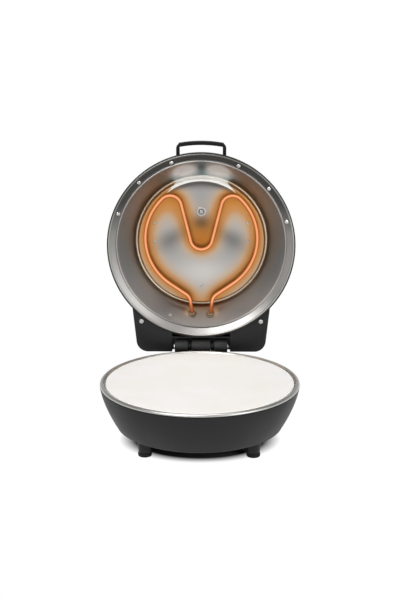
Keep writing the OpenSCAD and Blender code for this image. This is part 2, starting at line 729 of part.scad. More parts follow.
module lid_shell() color(black) in_lid() {
    flange_top = flange_t + reflector_t + 0.2;
    flange_out_r = roll_mid_r - ring_roll;
    flange_tip_r = flange_in_r + 3;
    difference() {
        union() {
            difference() {
                union() {
                    dome_form(0);
                    housing_form(0, cover_top_z, cover_top_z + housing_h);
                }
                dome_form(shell_sheet);
                housing_form(shell_sheet, cover_top_z - 2, cover_top_z + housing_h - shell_sheet);
            }
            // Skirt of the dome, which closes the housing off from the ring
            difference() {
                intersection() {
                    dome_form(0);
                    cylinder(h = cover_top_z + 2, r = lid_r + 1, $fn = fine);
                }
                translate([0, 0, -1]) cylinder(h = cover_top_z + 4, r = lid_r - shell_sheet, $fn = fine);
            }
            // Inner flange that takes the ring screws
            spun([[lid_r - shell_sheet / 2, 2 * ring_roll + 0.5], [flange_out_r, flange_z(flange_out_r) + flange_top],
                [flange_tip_r, flange_z(flange_tip_r) + flange_top],
                [flange_tip_r, flange_z(flange_tip_r) + flange_top + flange_t],
                [flange_out_r, flange_z(flange_out_r) + flange_top + flange_t],
                [lid_r - shell_sheet / 2, 2 * ring_roll + 0.5 + flange_t]]);
            // Bosses for the cover plate's rivets, with a rib to the wall
            rivet_places() mirror([0, 0, 1]) translate([0, 0, cover_sheet]) {
                cylinder(h = rib_h, r = rivet_r + 2.2, $fn = small);
                translate([0, -1, 0]) cube([housing_side_x(rivet_y) - rivet_x - rib_inset, 2, rib_h]);
            }
            // Flat pads for the handle's screws
            intersection() {
                dome_form(0);
                handle_screw_places() translate([0, 0, -8]) cylinder(h = 8, r = handle_screw_head + 1.5, $fn = small);
            }
            // Pocket round the hinge
            translate([-notch_w / 2 - pocket_wall, pocket_front_y, cover_top_z])
                cube([notch_w + 2 * pocket_wall, housing_back - shell_sheet - pocket_front_y, pocket_depth + 2.5 - cover_top_z]);
            // Seat under the dial, and seats under the lamps
            difference() {
                union() {
                    dial_place() translate([0, 0, -6]) cylinder(h = 6 + dial_seat_h, r = dial_r + 5, $fn = fine);
                    lamp_places() translate([0, 0, -6]) cylinder(h = 7, r = bezel_r + 2, $fn = small);
                }
                dome_form(shell_sheet * 2);
            }
        }
        translate([-notch_w / 2, pocket_front_y + pocket_wall, -1])
            cube([notch_w, 60, pocket_depth + 1]);
        translate([0, 0, -1]) cylinder(h = 1 + edge_lift, r = lid_r + 1, $fn = fine);
        dial_place() translate([0, 0, -20]) cylinder(h = 40, r = nut_r, $fn = small);
        lamp_places() translate([0, 0, -20]) cylinder(h = 40, r = bezel_r - 1.2, $fn = small);
        knuckle_screw_places() translate([0, 0, -10]) cylinder(h = 20, r = knuckle_screw_r, $fn = small);
        handle_screw_places() translate([0, 0, -10]) cylinder(h = 20, r = handle_screw_r, $fn = small);
        ring_screw_places() translate([0, 0, -8]) cylinder(h = 12, r = 1.6, $fn = small);
        rivet_places() translate([0, 0, -rivet_l]) cylinder(h = rivet_l + 1, r = rivet_r, $fn = small);
    }
}

module lid_ring() color(bright) in_lid() {
    difference() {
        union() {
            rotate_extrude($fn = fine) translate([roll_mid_r, ring_roll + edge_lift]) circle(r = ring_roll, $fn = 24);
            spun([[roll_mid_r, flange_z(roll_mid_r)], [flange_in_r, flange_z(flange_in_r)],
                [flange_in_r, flange_z(flange_in_r) + flange_t], [roll_mid_r, flange_z(roll_mid_r) + flange_t]]);
        }
        ring_screw_places() translate([0, 0, -8]) cylinder(h = 12, r = 1.6, $fn = small);
    }
}

// Ring screws in a row round the front of the lid, each with +Z out of the flange's face
module ring_screw_places() {
    mid_r = (roll_mid_r - ring_roll + flange_in_r) / 2;
    for (i = [0:ring_screws_n - 1], side = [-1, 1])
        rotate(-90 - ring_screw_turn + side * (ring_screw_gap / 2 + i * ring_screw_step))
        translate([mid_r, 0, flange_z(mid_r)]) rotate([0, 180 + flange_slope, 0]) children();
}

module ring_screws() color("white") in_lid() {
    ring_screw_places() translate([0, 0, head_lift]) screw(1.6, 4.5, ring_screw_head, 2.4, 0.9);
}

bead_mid_r = flange_in_r - bead_gap - bead_r;
bead_z = flange_z(flange_in_r) + flange_t;
disc_depth = trough_depth - disc_rise;
// Width of the reflector's lap behind the ring
reflector_lap = 7;
disc_r = wall_foot_r - trough_w - 2.4;

module lid_reflector() color([0.8, 0.8, 0.78]) in_lid() {
    t = reflector_sheet;
    trough_in = wall_foot_r - trough_w;
    lap_r = flange_in_r + reflector_lap;
    lap = flange_t + 0.1;
    difference() {
        union() {
            spun([[bead_mid_r, bead_z], [wall_foot_r, trough_depth], [trough_in, trough_depth],
                [disc_r + 0.6, disc_depth + 0.8], [disc_r - 1, disc_depth], [0, disc_depth], [0, disc_depth + t],
                [disc_r - 1 - t, disc_depth + t], [trough_in - t, trough_depth + t],
                [wall_foot_r + t * 0.5, trough_depth + t], [bead_mid_r + t * 1.3, bead_z]]);
            rotate_extrude($fn = fine) translate([bead_mid_r, bead_z]) circle(r = bead_r, $fn = 24);
            // Lap behind the ring, under the same screws
            spun([[bead_mid_r, bead_z + 0.6], [flange_in_r, flange_z(flange_in_r) + lap], [lap_r, flange_z(lap_r) + lap],
                [lap_r, flange_z(lap_r) + lap + reflector_t], [flange_in_r, flange_z(flange_in_r) + lap + reflector_t],
                [bead_mid_r, bead_z + 0.6 + reflector_t]]);
        }
        ring_screw_places() translate([0, 0, -8]) cylinder(h = 12, r = 1.6, $fn = small);
        element_end_places() translate([0, 0, -30]) cylinder(h = 60, r = tube_r + 0.3, $fn = small);
        disc_screw_places() translate([0, 0, -5]) cylinder(h = 10, r = 1.6, $fn = small);
        centre_screw_place() translate([0, 0, -5]) cylinder(h = 10, r = 2, $fn = small);
        side_screw_place() translate([0, 0, -5]) cylinder(h = 10, r = 1.6, $fn = small);
    }
}

// Places on the raised disc, with +Z of each out of the disc towards the stone
module on_disc(x, up) {
    translate([x, -up, disc_depth]) rotate([180, 0, 0]) children();
}

// Distance from the tube's outer arc in to the paired screws, and to the lowest screw
pair_inset = 17;
low_screw_inset = 20;
pair_x = outer_arc_r - pair_inset;

module disc_screw_places() {
    both_sides() on_disc(pair_x, -1) children();
    both_sides() on_disc(pair_x, 33) children();
    on_disc(0, low_screw_inset - outer_arc_r) children();
}

// Height of the centre screw towards the handle
centre_screw_up = 55;

module centre_screw_place() {
    on_disc(0, centre_screw_up) children();
}

wall_slope = atan((trough_depth - bead_z) / (bead_mid_r - wall_foot_r));
// Distance from the bead in to the single screw on the side wall
side_screw_inset = 8;
side_screw_r = bead_mid_r - side_screw_inset;

// Lift of a flat screw head off a round wall
head_lift = 0.12;

module side_screw_place() {
    depth = bead_z + (bead_mid_r - side_screw_r) * tan(wall_slope);
    rotate(113.3) translate([side_screw_r, 0, depth]) rotate([0, 180 + wall_slope, 0]) children();
}

module disc_screws() color(bright) in_lid() {
    disc_screw_places() screw(1.6, 6, 2.7, 1.4, 0.8);
    centre_screw_place() translate([0, 0, 1.2]) screw(2, 8, 4.6, 2.4, 1.1);
    side_screw_place() translate([0, 0, head_lift]) screw(1.6, 6, 3.4, 1.8, 0.9);
}

module disc_washer() color([0.7, 0.7, 0.68]) in_lid() {
    centre_screw_place() difference() {
        cylinder(h = 1.2, r = 8.5, $fn = small);
        translate([0, 0, -1]) cylinder(h = 4, r = 2, $fn = small);
        translate([0, 0, 0.7]) cylinder(h = 2, r1 = 5, r2 = 7, $fn = small);
    }
}

// ---------------------------------------------------------------- upper element
// The tube's centreline is a chain of arcs and straights that meet square. It is worked out on the
// right half, from the dip up to the lobe, round the outside and down to the end.

element_depth = disc_depth - tube_gap - tube_r;
outer_c = [0, outer_arc_up];
// The lobe touches the outer arc from inside
lobe_c = [lobe_x, outer_arc_up + sqrt(pow(outer_arc_r - lobe_r, 2) - pow(lobe_x, 2))];
lobe_meets_outer = atan2(lobe_c[1] - outer_arc_up, lobe_x);
// Height of the dip's lowest point towards the handle
dip_floor = -13;
dip_c = [0, dip_floor + dip_r];
// The straight side of the dip touches the dip from outside and the lobe from the other side
dip_to_lobe = lobe_c - dip_c;
side_angle = atan2(dip_to_lobe[1], dip_to_lobe[0]) + asin((dip_r + lobe_r) / norm(dip_to_lobe));
side_low = dip_c + dip_r * [sin(side_angle), -cos(side_angle)];
side_high = lobe_c + lobe_r * left_of(side_angle);
shoulder_start = outer_c + outer_arc_r * left_of(shoulder_angle);
shoulder_end = shoulder_start + shoulder_run * heading(shoulder_angle);
exit_c = shoulder_end + exit_r * left_of(shoulder_angle);
exit_start = exit_c - exit_r * left_of(exit_angle);
// Where the tube passes through the side wall, and where it ends behind it
tube_wall_r = bead_mid_r - (element_depth - bead_z) / tan(wall_slope);
along = exit_start * heading(exit_angle);
wall_reach = sqrt(pow(along, 2) - pow(norm(exit_start), 2) + pow(tube_wall_r, 2)) - along;
wall_hole = exit_start + wall_reach * heading(exit_angle);
exit_end = wall_hole + end_past_wall * heading(exit_angle);

// Right half of the tube, from the dip to the end
tube_half = concat(
    arc_stations(dip_c, dip_r, -90, side_angle, 8),
    arc_stations(lobe_c, lobe_r, side_angle + 90, lobe_meets_outer - side_angle - 90, 9),
    [for (i = [1:13]) arc_stations(outer_c, outer_arc_r, lobe_meets_outer, shoulder_angle - 270 - lobe_meets_outer, 13)[i]],
    arc_stations(exit_c, exit_r, shoulder_angle - 90, exit_angle - shoulder_angle, 5),
    [[[exit_end[0], exit_end[1], 0], [left_of(exit_angle)[0], left_of(exit_angle)[1], 0], [0, 0, 1]]]);

module upper_element() color([0.95, 0.55, 0.35]) in_dish(element_depth) {
    other = mirrored(tube_half);
    swept_tube(concat([for (i = [0:len(other) - 2]) other[i]], tube_half), tube_r, 16);
}

// Where the tube's ends pass through the side wall, with +Z of each along the tube, or square to
// the wall's round where facing_wall is true
module element_end_places(facing_wall = false) {
    translate([0, 0, element_depth]) mirror([0, 1, 0]) both_sides() translate([wall_hole[0], wall_hole[1], 0])
        rotate([0, 90, facing_wall ? atan2(wall_hole[1], wall_hole[0]) : exit_angle]) children();
}

// Lift of each plate off the hollow side wall
ferrule_lift = 0.4;

// Round plates on the side wall round the tube's ends
module element_ferrules() color([0.85, 0.84, 0.8]) in_lid() {
    difference() {
        element_end_places(true) rotate([0, wall_slope + 90, 0]) translate([0, 0, ferrule_lift]) union() {
            cylinder(h = 1, r = 8, $fn = small);
            cylinder(h = 3, r = 5.5, $fn = small);
        }
        element_end_places() translate([0, 0, -30]) cylinder(h = 60, r = tube_r, $fn = small);
    }
}

// Lap of each sleeve over the tube's end, and its length past the end
sleeve_lap = 5;
sleeve_tail = 5;
sleeve_wall = 1.5;
// Bore for the lead, from the sleeve's back in
lead_bore_r = 1.2;
lead_bore_l = 3;

module upper_terminal_sleeves() color([0.9, 0.88, 0.82]) in_lid() {
    translate([0, 0, element_depth]) mirror([0, 1, 0]) both_sides() translate([exit_end[0], exit_end[1], 0])
        rotate([0, 90, exit_angle]) difference() {
            translate([0, 0, -sleeve_lap]) cylinder(h = sleeve_lap + sleeve_tail, r = tube_r + sleeve_wall, $fn = small);
            translate([0, 0, -sleeve_lap - 1]) cylinder(h = sleeve_lap + 1, r = tube_r, $fn = small);
            translate([0, 0, sleeve_tail - lead_bore_l]) cylinder(h = lead_bore_l + 1, r = lead_bore_r, $fn = small);
        }
}

insulation_r = 68;
insulation_t = 12;
// Hole in the felt round the centre screw
insulation_hole_r = 9;

module insulation_pad() color([0.85, 0.83, 0.78]) in_lid() {
    translate([0, 0, disc_depth + reflector_sheet]) difference() {
        cylinder(h = insulation_t, r = insulation_r, $fn = fine);
        translate([0, -centre_screw_up, -1]) cylinder(h = insulation_t + 2, r = insulation_hole_r, $fn = small);
    }
}

// ---------------------------------------------------------------- lid hinge and cover

module hinge_cover_plate() color(black) in_lid() {
    difference() {
        translate([0, 0, cover_setback]) linear_extrude(cover_sheet) housing_outline(0);
        translate([0, 0, -1]) cylinder(h = 20, r = lid_r, $fn = fine);
        translate([-notch_w / 2, housing_front_y, -1]) cube([notch_w, housing_l + 5, 20]);
        rivet_places() translate([0, 0, -5]) cylinder(h = 20, r = rivet_r, $fn = small);
    }
}

rivet_r = 1.6;
rivet_l = 7;
rivet_head_r = 4.1;
// Distance of each rivet from the housing's side, and from the edge of the lid
rivet_inset = 9.6;
rivet_out = 8.4;
rivet_x = housing_end_half - rivet_inset;
rivet_y = sqrt(pow(lid_r + rivet_out, 2) - pow(rivet_x, 2));

module rivet_places() {
    both_sides() translate([rivet_x, rivet_y, cover_setback]) rotate([180, 0, 0]) children();
}

module cover_plate_rivets() color(bright) in_lid() {
    rivet_places() difference() {
        union() {
            cylinder(h = 0.8, r = rivet_head_r, $fn = small);
            translate([0, 0, 0.8]) cylinder(h = 0.8, r1 = rivet_head_r, r2 = rivet_head_r * 0.7, $fn = small);
            translate([0, 0, -rivet_l]) cylinder(h = rivet_l + join, r = rivet_r, $fn = small);
        }
        translate([0, 0, 0.4]) cylinder(h = 3, r = rivet_head_r * 0.4, $fn = small);
    }
}

knuckle_screw_r = 2;

module knuckle_screw_places() {
    for (x = [-1, 1], y = [-1, 1]) translate([x * knuckle_w * 0.3, hinge_back - 3 + y * 5, pocket_depth + 2.5])
        children();
}

// Point [y, z] from the hinge axis, turned by the angle a
function turned(p, a) = [p[0] * cos(a) - p[1] * sin(a), p[0] * sin(a) + p[1] * cos(a)];

module lid_knuckle() color(black) in_lid() {
    reach = hinge_back - boss_back_y - bracket_t - side_play;
    // Outline of the stop, as it meets the bracket's face when the lid is open
    heel = [[-reach, -11], [-reach, -20], [2 - reach / 2, -20], [4, -10], [-6, -6]];
    difference() {
        rotate([90, 0, 90]) translate([0, 0, -knuckle_w / 2]) linear_extrude(knuckle_w) {
            translate([hinge_back, 0]) circle(r = knuckle_r, $fn = fine);
            polygon([[hinge_back - knuckle_r, 0], [hinge_back + knuckle_r, 0], [hinge_back + 6, pocket_depth],
                [hinge_back - knuckle_r - 1, pocket_depth]]);
            translate([hinge_back, 0]) polygon([for (p = heel) turned(p, lid_open)]);
        }
        rotate([0, 90, 0]) translate([0, hinge_back, -knuckle_w]) cylinder(h = 2 * knuckle_w, r = pin_r + pin_clear, $fn = small);
        knuckle_screw_places() translate([0, 0, -11]) cylinder(h = 20, r = knuckle_screw_r, $fn = small);
    }
}

module lid_knuckle_screws() color(steel) in_lid() {
    knuckle_screw_places() screw(knuckle_screw_r, 8, 3.5, 2.2, 1);
}

// ---------------------------------------------------------------- handle

handle_leg_x = handle_w / 2 - handle_bar / 2;
handle_screw_r = 2;
handle_screw_head = 3.6;
handle_screw_l = 12;

// Handle outline from the front, with +Y away from the lid
module handle_outline() {
    half = handle_w / 2;
    shoulder = handle_reach - handle_bow;
    bow_r = (pow(half, 2) + pow(handle_bow, 2)) / (2 * handle_bow);
    low = lid_r - 22;
    inner = handle_corner - handle_bar * 0.55;
    difference() {
        intersection() {
            translate([0, handle_reach - bow_r]) circle(r = bow_r, $fn = 720);
            polygon(concat([[half, low]], arc([half - handle_corner, shoulder - handle_corner], handle_corner, 0, 60, 8),
                [[half - handle_corner * 0.6, handle_reach], [-half + handle_corner * 0.6, handle_reach]],
                [for (i = [8:-1:0]) let (a = 60 * i / 8) [-half + handle_corner - handle_corner * cos(a),
                    shoulder - handle_corner + handle_corner * sin(a)]], [[-half, low]]));
        }
        intersection() {
            translate([0, handle_reach - bow_r]) circle(r = bow_r - handle_bar, $fn = 720);
            translate([-half + handle_bar, low - 1]) square([handle_w - 2 * handle_bar, handle_reach]);
        }
    }
}

module handle() color(black_soft) in_lid() {
    difference() {
        translate([0, 0, handle_up]) mirror([0, 1, 0]) linear_extrude(handle_depth) handle_outline();
        dome_form(0);
        handle_screw_places() translate([0, 0, -handle_screw_l]) cylinder(h = 20, r = handle_screw_r, $fn = small);
    }
}

// Screws from inside the shell into the handle's legs, with -Z of each away from the middle
module handle_screw_places() {
    y = -sqrt(pow(lid_r - shell_sheet, 2) - pow(handle_leg_x, 2));
    both_sides() translate([handle_leg_x, y + 4, handle_up + handle_depth / 2]) rotate([-90, 0, 0]) children();
}

module handle_screws() color(steel) in_lid() {
    handle_screw_places() screw(handle_screw_r, handle_screw_l, handle_screw_head, 2, 0.9);
}

// ---------------------------------------------------------------- thermostat and lamps

nut_r = 6.5;
body_r = 13;
body_h = 6;
bracket_low = -4.5;

module thermostat_nut() color(steel) in_lid() dial_place() {
    translate([0, 0, bracket_low]) difference() {
        cylinder(h = 6.4, r = nut_r, $fn = small);
        translate([0, 0, -1]) cylinder(h = 9, r = spindle_r + 0.5, $fn = small);
    }
}

module thermostat_bracket() color(steel) in_lid() dial_place() {
    translate([0, 0, bracket_low - 1.2]) difference() {
        translate([-22, -9, 0]) cube([44, 18, 1.2]);
        translate([0, 0, -1]) cylinder(h = 4, r = spindle_r + 0.5, $fn = small);
    }
}

module thermostat_body() color([0.85, 0.82, 0.74]) in_lid() dial_place() {
    translate([0, 0, bracket_low - 1.2 - body_h]) difference() {
        cylinder(h = body_h, r = body_r, $fn = small);
        translate([0, 0, body_h - 5]) cylinder(h = 7, r = spindle_r + pin_clear, $fn = small);
    }
}

// Length of a bezel's neck in the shell, and the height of its flange
bezel_neck = 3;
bezel_h = 1.6;
lens_l = 4.5;

module lamp_bezels() color(steel) in_lid() lamp_places() {
    translate([0, 0, 1]) difference() {
        union() {
            cylinder(h = bezel_h, r1 = bezel_r, r2 = bezel_r - bezel_h / 2, $fn = small);
            translate([0, 0, -bezel_neck]) cylinder(h = bezel_neck + join, r = bezel_r - 1.2, $fn = small);
        }
        translate([0, 0, -bezel_neck - 1]) cylinder(h = bezel_neck + bezel_h + 2, r = lens_r, $fn = small);
    }
}

module lamp_lenses() color([0.8, 0.1, 0.05]) in_lid() lamp_places() {
    translate([0, 0, 2.8 - lens_l]) cylinder(h = lens_l, r = lens_r, $fn = small);
    translate([0, 0, 2.8 - join]) cylinder(h = 1, r1 = lens_r, r2 = lens_r * 0.6, $fn = small);
}

dial_lift = dial_seat_h + 0.6;

module thermostat_dial() color(black_soft) in_lid() dial_place() {
    skirt_h = 3;
    cap_h = 1.5;
    translate([0, 0, dial_lift]) difference() {
        union() {
            cylinder(h = skirt_h, r1 = dial_r, r2 = dial_r - 1, $fn = fine);
            linear_extrude(dial_h - cap_h) difference() {
                circle(r = grip_r, $fn = fine);
                for (i = [0:flutes_n - 1]) rotate(360 * (i + 0.5) / flutes_n) translate([grip_r + 0.8, 0])
                    circle(r = 1.7, $fn = 24);
            }
            translate([0, 0, dial_h - cap_h]) cylinder(h = cap_h, r1 = grip_r - 1.2, r2 = grip_r - 2.4, $fn = fine);
        }
        translate([0, 0, -1]) cylinder(h = dial_h - 4, r = spindle_r, $fn = small);
        translate([-1, -grip_r + 3.5, dial_h - 1]) cube([2, grip_r - 6, 2]);
    }
}

module dial_spindle() color(steel) in_lid() dial_place() {
    low = bracket_low - 1.2 - 4.5;
    translate([0, 0, low]) cylinder(h = dial_lift + dial_h - 5 - low, r = spindle_r, $fn = small);
}

module dial_pointer() color("white") in_lid() dial_place() {
    translate([-1, -grip_r + 3.5, dial_lift + dial_h - 1]) cube([2, grip_r - 6, 1.2]);
}

base_bowl();
rim_ring();
base_pan();
baking_stone();
lower_element();
lower_element_posts();
lower_terminal_sleeves();
heat_shield();
shield_posts();
bottom_plate();
bottom_plate_screws();
feet();
foot_pads();
foot_screws();
hinge_bracket();
hinge_bracket_screws();
hinge_pin();
hinge_spacers();
cord_inlet();
terminal_block();
terminal_screws();
lid_shell();
lid_ring();
ring_screws();
lid_reflector();
disc_screws();
disc_washer();
upper_element();
element_ferrules();
upper_terminal_sleeves();
insulation_pad();
hinge_cover_plate();
cover_plate_rivets();
lid_knuckle();
lid_knuckle_screws();
handle();
handle_screws();
thermostat_body();
thermostat_bracket();
thermostat_nut();
lamp_bezels();
lamp_lenses();
thermostat_dial();
dial_spindle();
dial_pointer();
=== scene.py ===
"""Electric pizza maker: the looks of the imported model, with its studio and its camera.

Lengths are metres and the frame is the model's own: the origin lies between the four feet,
+X to the user's right, +Y to the hinge and +Z up. Pieces of the lid are shaped closed, from the
middle of the lid's edge plane, and are then turned open with the lid.
"""

import logging
import math
from dataclasses import dataclass, field
from enum import Enum
from typing import Callable, Iterable, Sequence

import bmesh
import bpy
import numpy as np
from mathutils import Matrix, Vector


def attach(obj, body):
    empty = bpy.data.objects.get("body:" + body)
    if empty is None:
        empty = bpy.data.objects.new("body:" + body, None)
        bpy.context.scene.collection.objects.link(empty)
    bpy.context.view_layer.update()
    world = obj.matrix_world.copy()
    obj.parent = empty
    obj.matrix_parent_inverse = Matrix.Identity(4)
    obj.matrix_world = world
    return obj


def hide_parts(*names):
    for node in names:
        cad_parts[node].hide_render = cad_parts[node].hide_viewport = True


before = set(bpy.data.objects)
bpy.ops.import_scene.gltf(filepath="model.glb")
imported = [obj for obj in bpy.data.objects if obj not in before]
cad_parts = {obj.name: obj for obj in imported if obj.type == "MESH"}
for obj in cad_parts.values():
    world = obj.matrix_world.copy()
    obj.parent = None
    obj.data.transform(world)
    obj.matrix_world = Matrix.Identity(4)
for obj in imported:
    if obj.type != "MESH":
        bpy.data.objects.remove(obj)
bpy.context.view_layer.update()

log = logging.getLogger("pizza_maker")

MM = 0.001
Colour = tuple[float, float, float]
Point = tuple[float, float]
Place = tuple[float, float, float]


# ------------------------------------------------------------------ small tools


class Body(Enum):
    """The rigid bodies that pieces ride on."""

    BASE = "base"
    LID = "lid"
    DIAL = "dial"


@dataclass(frozen=True)
class LidPlace:
    """Where the lid's own coordinates lie in the frame.

    Attributes:
        hinge_back: Distance from the middle to the hinge pin.
        axis_z: Height of the hinge pin.
        open_deg: Angle of the lid from closed.
    """

    hinge_back: float = 188.0
    axis_z: float = 106.0
    open_deg: float = 90.8

    def matrix(self) -> Matrix:
        """Works out where the lid goes.

        Returns:
            The transform from lid coordinates in millimetres to the frame in metres.
        """
        turn = Matrix.Rotation(math.radians(-self.open_deg), 4, "X")
        there = Matrix.Translation((0, self.hinge_back, self.axis_z))
        return Matrix.Scale(MM, 4) @ there @ turn @ Matrix.Translation((0, -self.hinge_back, 0))


@dataclass
class Shape:
    """A mesh in the making, in millimetres.

    Attributes:
        bm: The bmesh that holds it.
    """

    bm: bmesh.types.BMesh = field(default_factory=bmesh.new)

    def spun(self, points: Sequence[Point], steps: int, closed: bool = True, place: Matrix | None = None) -> "Shape":
        """Adds a solid of revolution about Z.

        Args:
            points: Profile points (radius, height).
            steps: Number of steps round the axis.
            closed: Whether the profile's last point joins its first.
            place: Where the finished form goes.

        Returns:
            This shape.
        """
        part = bmesh.new()
        verts = [part.verts.new((r, 0, z)) for r, z in points]
        pairs = list(zip(verts, verts[1:])) + ([(verts[-1], verts[0])] if closed else [])
        edges = [part.edges.new(pair) for pair in pairs]
        bmesh.ops.spin(part, geom=verts + edges, cent=(0, 0, 0), axis=(0, 0, 1), angle=math.tau, steps=steps,
                       use_merge=True, use_duplicate=False)
        bmesh.ops.remove_doubles(part, verts=part.verts, dist=1e-4)
        bmesh.ops.dissolve_degenerate(part, dist=1e-5, edges=part.edges)
        bmesh.ops.recalc_face_normals(part, faces=part.faces)
        return self.take(part, place)

    def slab(self, outline: Sequence[Point], low: float, high: float, place: Matrix | None = None,
             bevel: float = 0.0, segments: int = 3) -> "Shape":
        """Adds an outline in XY extruded along Z, with its edges rounded.

        Args:
            outline: Corner points.
            low: Height of the lower face.
            high: Height of the upper face.
            place: Where the finished form goes.
            bevel: Width of the rounding on every sharp edge.
            segments: Steps of that rounding.

        Returns:
            This shape.
        """
        part = bmesh.new()
        face = part.faces.new([part.verts.new((x, y, low)) for x, y in outline])
        out = bmesh.ops.extrude_face_region(part, geom=[face])
        top = [g for g in out["geom"] if isinstance(g, bmesh.types.BMVert)]
        bmesh.ops.translate(part, verts=top, vec=(0, 0, high - low))
        bmesh.ops.recalc_face_normals(part, faces=part.faces)
        round_edges(part, bevel, segments)
        return self.take(part, place)

    def take(self, part: bmesh.types.BMesh, place: Matrix | None = None) -> "Shape":
        """Moves another bmesh into this one.

        Args:
            part: The bmesh, which is freed.
            place: Its transform.

        Returns:
            This shape.
        """
        if place is not None:
            bmesh.ops.transform(part, matrix=place, verts=part.verts)
        spare = bpy.data.meshes.new("spare")
        part.to_mesh(spare)
        part.free()
        self.bm.from_mesh(spare)
        bpy.data.meshes.remove(spare)
        return self

    def around_uv(self, axis_y: float = 0.0) -> None:
        """Writes a UV map: u is the turn about Z from 0 to 1, v the distance from the axis in metres.

        Args:
            axis_y: Place of the axis along Y.
        """
        layer = self.bm.loops.layers.uv.new("UVMap")
        for face in self.bm.faces:
            turns = [math.atan2(loop.vert.co.y - axis_y, loop.vert.co.x) / math.tau for loop in face.loops]
            wraps = max(turns) - min(turns) > 0.5
            for loop, turn in zip(face.loops, turns):
                reach = math.hypot(loop.vert.co.x, loop.vert.co.y - axis_y)
                loop[layer].uv = (turn + 1 if wraps and turn < 0 else turn, (reach + 0.3 * loop.vert.co.z) * MM)

    def piece(self, name: str, material: bpy.types.Material, body: Body, slot: str, replaces: Iterable[str] = (),
              place: Matrix | None = None, sharp_deg: float = 38.0) -> bpy.types.Object:
        """Makes the object, hangs it on its body and hides the CAD nodes that it stands for.

        Args:
            name: The piece's name.
            material: Its finish.
            body: The body that it rides on.
            slot: Name of a material slot; not used.
            replaces: CAD nodes that it stands for.
            place: Transform from the shape's coordinates to metres in the frame.
            sharp_deg: Edges steeper than this stay sharp.

        Returns:
            The object.
        """
        mesh = bpy.data.meshes.new(name)
        bmesh.ops.transform(self.bm, matrix=place or Matrix.Scale(MM, 4), verts=self.bm.verts)
        self.bm.to_mesh(mesh)
        self.bm.free()
        # Normals carried over from a CAD node no longer fit the merged and rounded copy
        carried = mesh.attributes.get("custom_normal")
        if carried is not None:
            mesh.attributes.remove(carried)
        mesh.shade_smooth()
        mesh.set_sharp_from_angle(angle=math.radians(sharp_deg))
        mesh.materials.append(material)
        obj = bpy.data.objects.new(name, mesh)
        bpy.context.scene.collection.objects.link(obj)
        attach(obj, body.value)
        if replaces:
            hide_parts(*replaces)
        log.info("%s: %d faces on %s", name, len(mesh.polygons), body.value)
        return obj


def round_edges(part: bmesh.types.BMesh, width: float, segments: int, angle_deg: float = 32.0) -> None:
    """Rounds every edge that is steeper than an angle.

    Args:
        part: The bmesh.
        width: Width of the rounding.
        segments: Its steps.
        angle_deg: Edges flatter than this are left.
    """
    if width <= 0:
        return
    limit = math.radians(angle_deg)
    edges = [e for e in part.edges if len(e.link_faces) == 2 and e.calc_face_angle(0) > limit]
    bmesh.ops.bevel(part, geom=edges, offset=width, offset_type="OFFSET", affect="EDGES", segments=segments,
                    profile=0.5, clamp_overlap=True, material=-1)


def refined_node(node: str, name: str, material: bpy.types.Material, body: Body, slot: str, bevel: float = 0.3,
                 segments: int = 2, sharp_deg: float = 40.0, flat_deg: float = 0.4) -> bpy.types.Object:
    """Makes a merged copy of a CAD node with rounded edges and smooth shading.

    Args:
        node: The CAD node.
        name: Name of the copy.
        material: Its finish.
        body: The body that it rides on.
        slot: Name of a material slot, handed on to the piece.
        bevel: Width of the rounded edges in millimetres.
        segments: Steps of the rounding.
        sharp_deg: Edges steeper than this stay sharp.
        flat_deg: Faces flatter to each other than this become one.

    Returns:
        The copy.
    """
    shape = Shape()
    shape.bm.from_mesh(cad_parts[node].data)
    bmesh.ops.scale(shape.bm, vec=(1 / MM,) * 3, verts=shape.bm.verts)
    bmesh.ops.remove_doubles(shape.bm, verts=shape.bm.verts, dist=1e-3)
    if bevel > 0:
        bmesh.ops.dissolve_limit(shape.bm, angle_limit=math.radians(flat_deg), verts=shape.bm.verts,
                                 edges=shape.bm.edges, use_dissolve_boundaries=False)
        round_edges(shape.bm, bevel, segments)
    return shape.piece(name, material, body, slot, replaces=(node,), sharp_deg=sharp_deg)


def bump(value: float, middle: float, width: float) -> float:
    """Returns a soft hump round a middle value."""
    return math.exp(-((value - middle) / width) ** 2)


def fall(value: float, high_until: float, low_from: float) -> float:
    """Returns 1 up to one value, 0 from another on, and a smooth step between them."""
    t = min(1.0, max(0.0, (value - high_until) / (low_from - high_until)))
    return 1.0 - t * t * (3 - 2 * t)


def arc(centre: Point, radius: float, start: float, end: float, steps: int) -> list[Point]:
    """Returns points of an arc.

    Args:
        centre: Its centre.
        radius: Its radius.
        start: First angle in degrees.
        end: Last angle in degrees.
        steps: Number of steps.

    Returns:
        The points, in order.
    """
    turns = [math.radians(start + (end - start) * i / steps) for i in range(steps + 1)]
    return [(centre[0] + radius * math.cos(a), centre[1] + radius * math.sin(a)) for a in turns]


def rounded(corners: Sequence[Place], steps: int = 4) -> list[Point]:
    """Rounds the corners of a closed profile.

    Args:
        corners: Points (radius, height, rounding), where 0 leaves a corner sharp.
        steps: Steps of each rounding.

    Returns:
        The profile's points.
    """
    out: list[Point] = []
    count = len(corners)
    for i, (x, y, r) in enumerate(corners):
        here = Vector((x, y))
        if r <= 0:
            out.append((x, y))
            continue
        before = Vector(corners[i - 1][:2]) - here
        after = Vector(corners[(i + 1) % count][:2]) - here
        start = here + before.normalized() * min(r, before.length / 2)
        end = here + after.normalized() * min(r, after.length / 2)
        for k in range(steps + 1):
            t = k / steps
            p = start * (1 - t) ** 2 + here * 2 * t * (1 - t) + end * t ** 2
            out.append((p.x, p.y))
    return out


# ------------------------------------------------------------------ finishes


